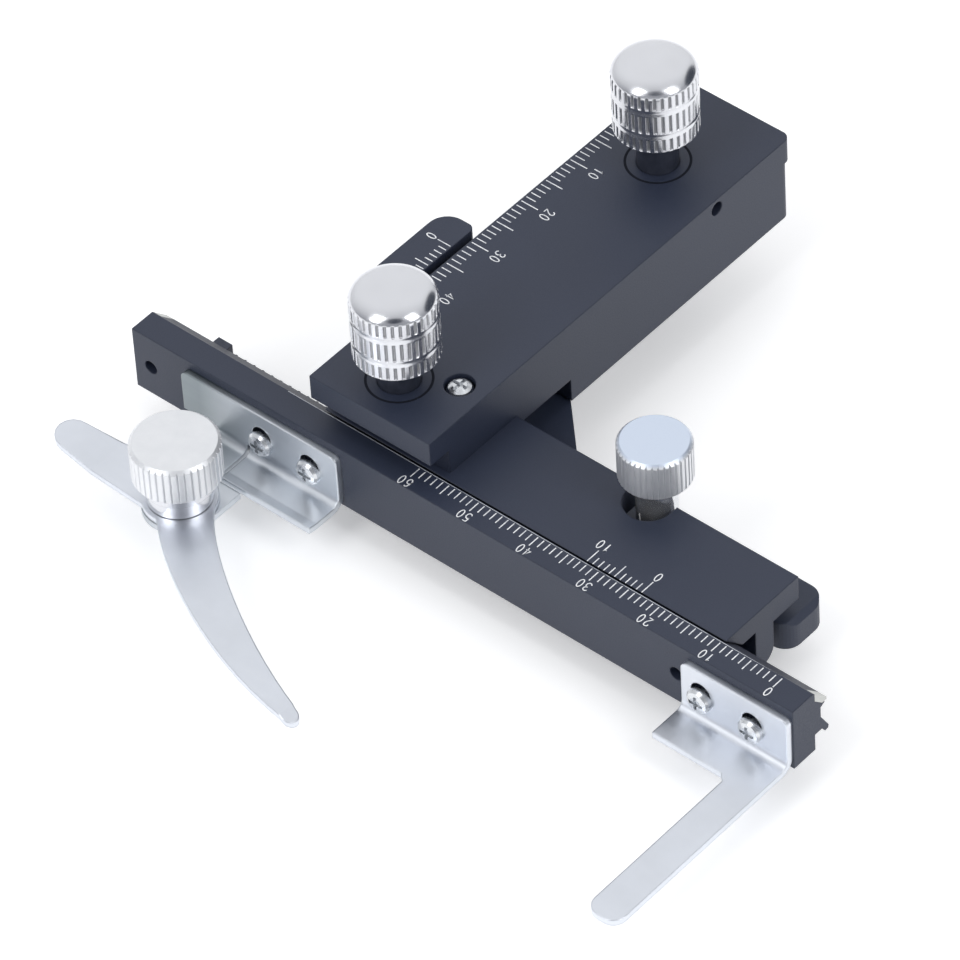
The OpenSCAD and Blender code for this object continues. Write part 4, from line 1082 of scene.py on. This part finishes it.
class STAGE_OT_bush_gaps(bpy.types.Operator):
    """Paint shade over the gaps round the two bushes in the carriage"""

    bl_idname = "stage_looks.bush_gaps"
    bl_label = "Painted shade round the bushes"

    def execute(self, context):
        z = top_of("y_carriage").z + settings().scale.proud
        for node in ("x_bush", "y_bush"):
            low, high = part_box(node)
            radius = (high.x - low.x) / 2
            centre = ((low.x + high.x) / 2, (low.y + high.y) / 2, z)
            inner, outer = radius - GAP_SHADE_UNDER, radius + GAP_SHADE_WIDTH
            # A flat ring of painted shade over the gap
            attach(flat_ring(f"{node}_gap", centre, inner, outer, deep_shadow()), "carriage")
        return {"FINISHED"}


class STAGE_OT_wear(bpy.types.Operator):
    """Lay a pale line on the rear top edge of the bar: rubbed-off anodising and a painted highlight"""

    bl_idname = "stage_looks.wear"
    bl_label = "Worn and glinting edge"

    def execute(self, context):
        low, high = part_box("x_bar")
        left, right, rear = low.x + WORN_GLINT_FROM, high.x - WORN_GLINT_TO, BAR_TOP_REAR
        front, z = rear - WORN_GLINT_WIDTH, high.z + settings().scale.proud
        # Painted highlight: a pale quad along the edge, also bare where the anodising is rubbed off
        verts = [(left, front, z), (right - WORN_GLINT_TAPER, front, z), (right, rear, z), (left, rear, z)]
        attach(flat_piece("bar_worn_and_glinting_edge", verts, [(0, 1, 2, 3)], worn_aluminium()), "bar")
        return {"FINISHED"}


class STAGE_OT_bar_scale(bpy.types.Operator):
    """Engrave the millimetre scale on the bar and its vernier on the guide plate"""

    bl_idname = "stage_looks.bar_scale"
    bl_label = "Bar scale and vernier"

    def execute(self, context):
        engrave(
            name="bar_scale",
            node="x_bar",
            body="bar",
            zero=(33.0 * MM, -15.2 * MM),
            along=(-1, 0, 0),
            short=1.4 * MM,
            long=1.85 * MM,
            numbers_at=2.85 * MM,
            divisions=settings().scale.main_count,
            step=SCALE_STEP,
            number_every=NUMBER_EVERY,
        )
        engrave(
            name="bar_vernier",
            node="x_guide",
            body="carriage",
            zero=(9.6 * MM, -14.55 * MM),
            along=(-1, 0, 0),
            short=-1.3 * MM,
            long=-2.3 * MM,
            numbers_at=-3.3 * MM,
            divisions=settings().scale.vernier_count,
            step=VERNIER_STEP,
            number_every=settings().scale.vernier_count,
        )
        return {"FINISHED"}


class STAGE_OT_rail_scale(bpy.types.Operator):
    """Engrave the millimetre scale on the carriage and its vernier on the arm"""

    bl_idname = "stage_looks.rail_scale"
    bl_label = "Carriage scale and vernier"

    def execute(self, context):
        engrave(
            name="carriage_scale",
            node="y_carriage",
            body="carriage",
            zero=(-43.5 * MM, 44.85 * MM),
            along=(0, -1, 0),
            short=1.6 * MM,
            long=2.84 * MM,
            numbers_at=4.4 * MM,
            divisions=settings().scale.rail_count,
            step=SCALE_STEP,
            number_every=NUMBER_EVERY,
        )
        engrave(
            name="arm_vernier",
            node="y_vernier_arm",
            body="base",
            zero=(-45.2 * MM, 12.54 * MM),
            along=(0, -1, 0),
            short=-1.3 * MM,
            long=-2.2 * MM,
            numbers_at=-3.3 * MM,
            divisions=settings().scale.vernier_count,
            step=VERNIER_STEP,
            number_every=settings().scale.vernier_count,
        )
        return {"FINISHED"}


class STAGE_OT_thread(bpy.types.Operator):
    """Wind the thread on the end of the thumbscrew"""

    bl_idname = "stage_looks.thread"
    bl_label = "Thumbscrew thread"

    def execute(self, context):
        t = settings().thread
        low = low_of("thumbscrew").z
        length = -low - t.pitch
        metal = satin_aluminium()
        sizes = {
            "Turns": length / t.pitch,
            "Length": length,
            "Radius": THREAD_RADIUS - t.ridge * RIDGE_SUNK,
            "Ridge": t.ridge * RIDGE_HALF,
            "Material": metal,
        }
        piece = from_nodes("thumbscrew_thread", thread_tree(), sizes)
        piece.data.transform(Matrix.Translation((0, 0, low + t.pitch / 2)))
        show_material(piece, metal)
        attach(piece, "thumbscrew")
        return {"FINISHED"}


class STAGE_OT_studio(bpy.types.Operator):
    """Make the floor, the lamps, the pale surroundings and the camera"""

    bl_idname = "stage_looks.studio"
    bl_label = "Studio"

    def execute(self, context):
        scene = context.scene
        scene.view_settings.view_transform = "Standard"
        scene.world = pale_tent()
        r, z = FLOOR_REACH, CAD_BOX[0][2] - FLOOR_GAP
        corners = [(-r, -r, z), (r, -r, z), (r, r, z), (-r, r, z)]
        flat_piece("floor", corners, [(0, 1, 2, 3)], white_card())
        for name, place in SOFTBOXES.items():
            softbox(name, place)
        scene.camera = photo_camera()
        return {"FINISHED"}


OPERATORS = (
    STAGE_OT_finishes,
    STAGE_OT_knobs,
    STAGE_OT_bush_gaps,
    STAGE_OT_bar_scale,
    STAGE_OT_wear,
    STAGE_OT_rail_scale,
    STAGE_OT_thread,
    STAGE_OT_studio,
)


class STAGE_PT_looks(bpy.types.Panel):
    """Sidebar panel that lists the pieces of the stage's looks"""

    bl_idname = "STAGE_PT_looks"
    bl_label = "Microscope stage"
    bl_space_type = "VIEW_3D"
    bl_region_type = "UI"
    bl_category = "Stage"

    def draw(self, context):
        looks = context.scene.stage_looks
        for group in (looks.finish, looks.scale, looks.knob, looks.thread, looks.stage):
            box = self.layout.box()
            for name in group.bl_rna.properties.keys():
                if name not in ("rna_type", "name"):
                    box.prop(group, name)
        for operator in OPERATORS:
            self.layout.operator(operator.bl_idname)


CLASSES = (
    FinishSettings,
    ScaleSettings,
    KnobSettings,
    ThreadSettings,
    StageSettings,
    LookSettings,
    *OPERATORS,
    STAGE_PT_looks,
)


def register():
    for item in CLASSES:
        bpy.utils.register_class(item)
    bpy.types.Scene.stage_looks = PointerProperty(
        type=LookSettings, name="Stage looks", description="Settings of the stage's looks"
    )


def unregister():
    del bpy.types.Scene.stage_looks
    for item in reversed(CLASSES):
        bpy.utils.unregister_class(item)


def main():
    register()
    bpy.ops.stage_looks.finishes()
    bpy.ops.stage_looks.knobs()
    bpy.ops.stage_looks.bush_gaps()
    bpy.ops.stage_looks.bar_scale()
    bpy.ops.stage_looks.wear()
    bpy.ops.stage_looks.rail_scale()
    bpy.ops.stage_looks.thread()
    bpy.ops.stage_looks.studio()


if __name__ == "__main__":
    main()
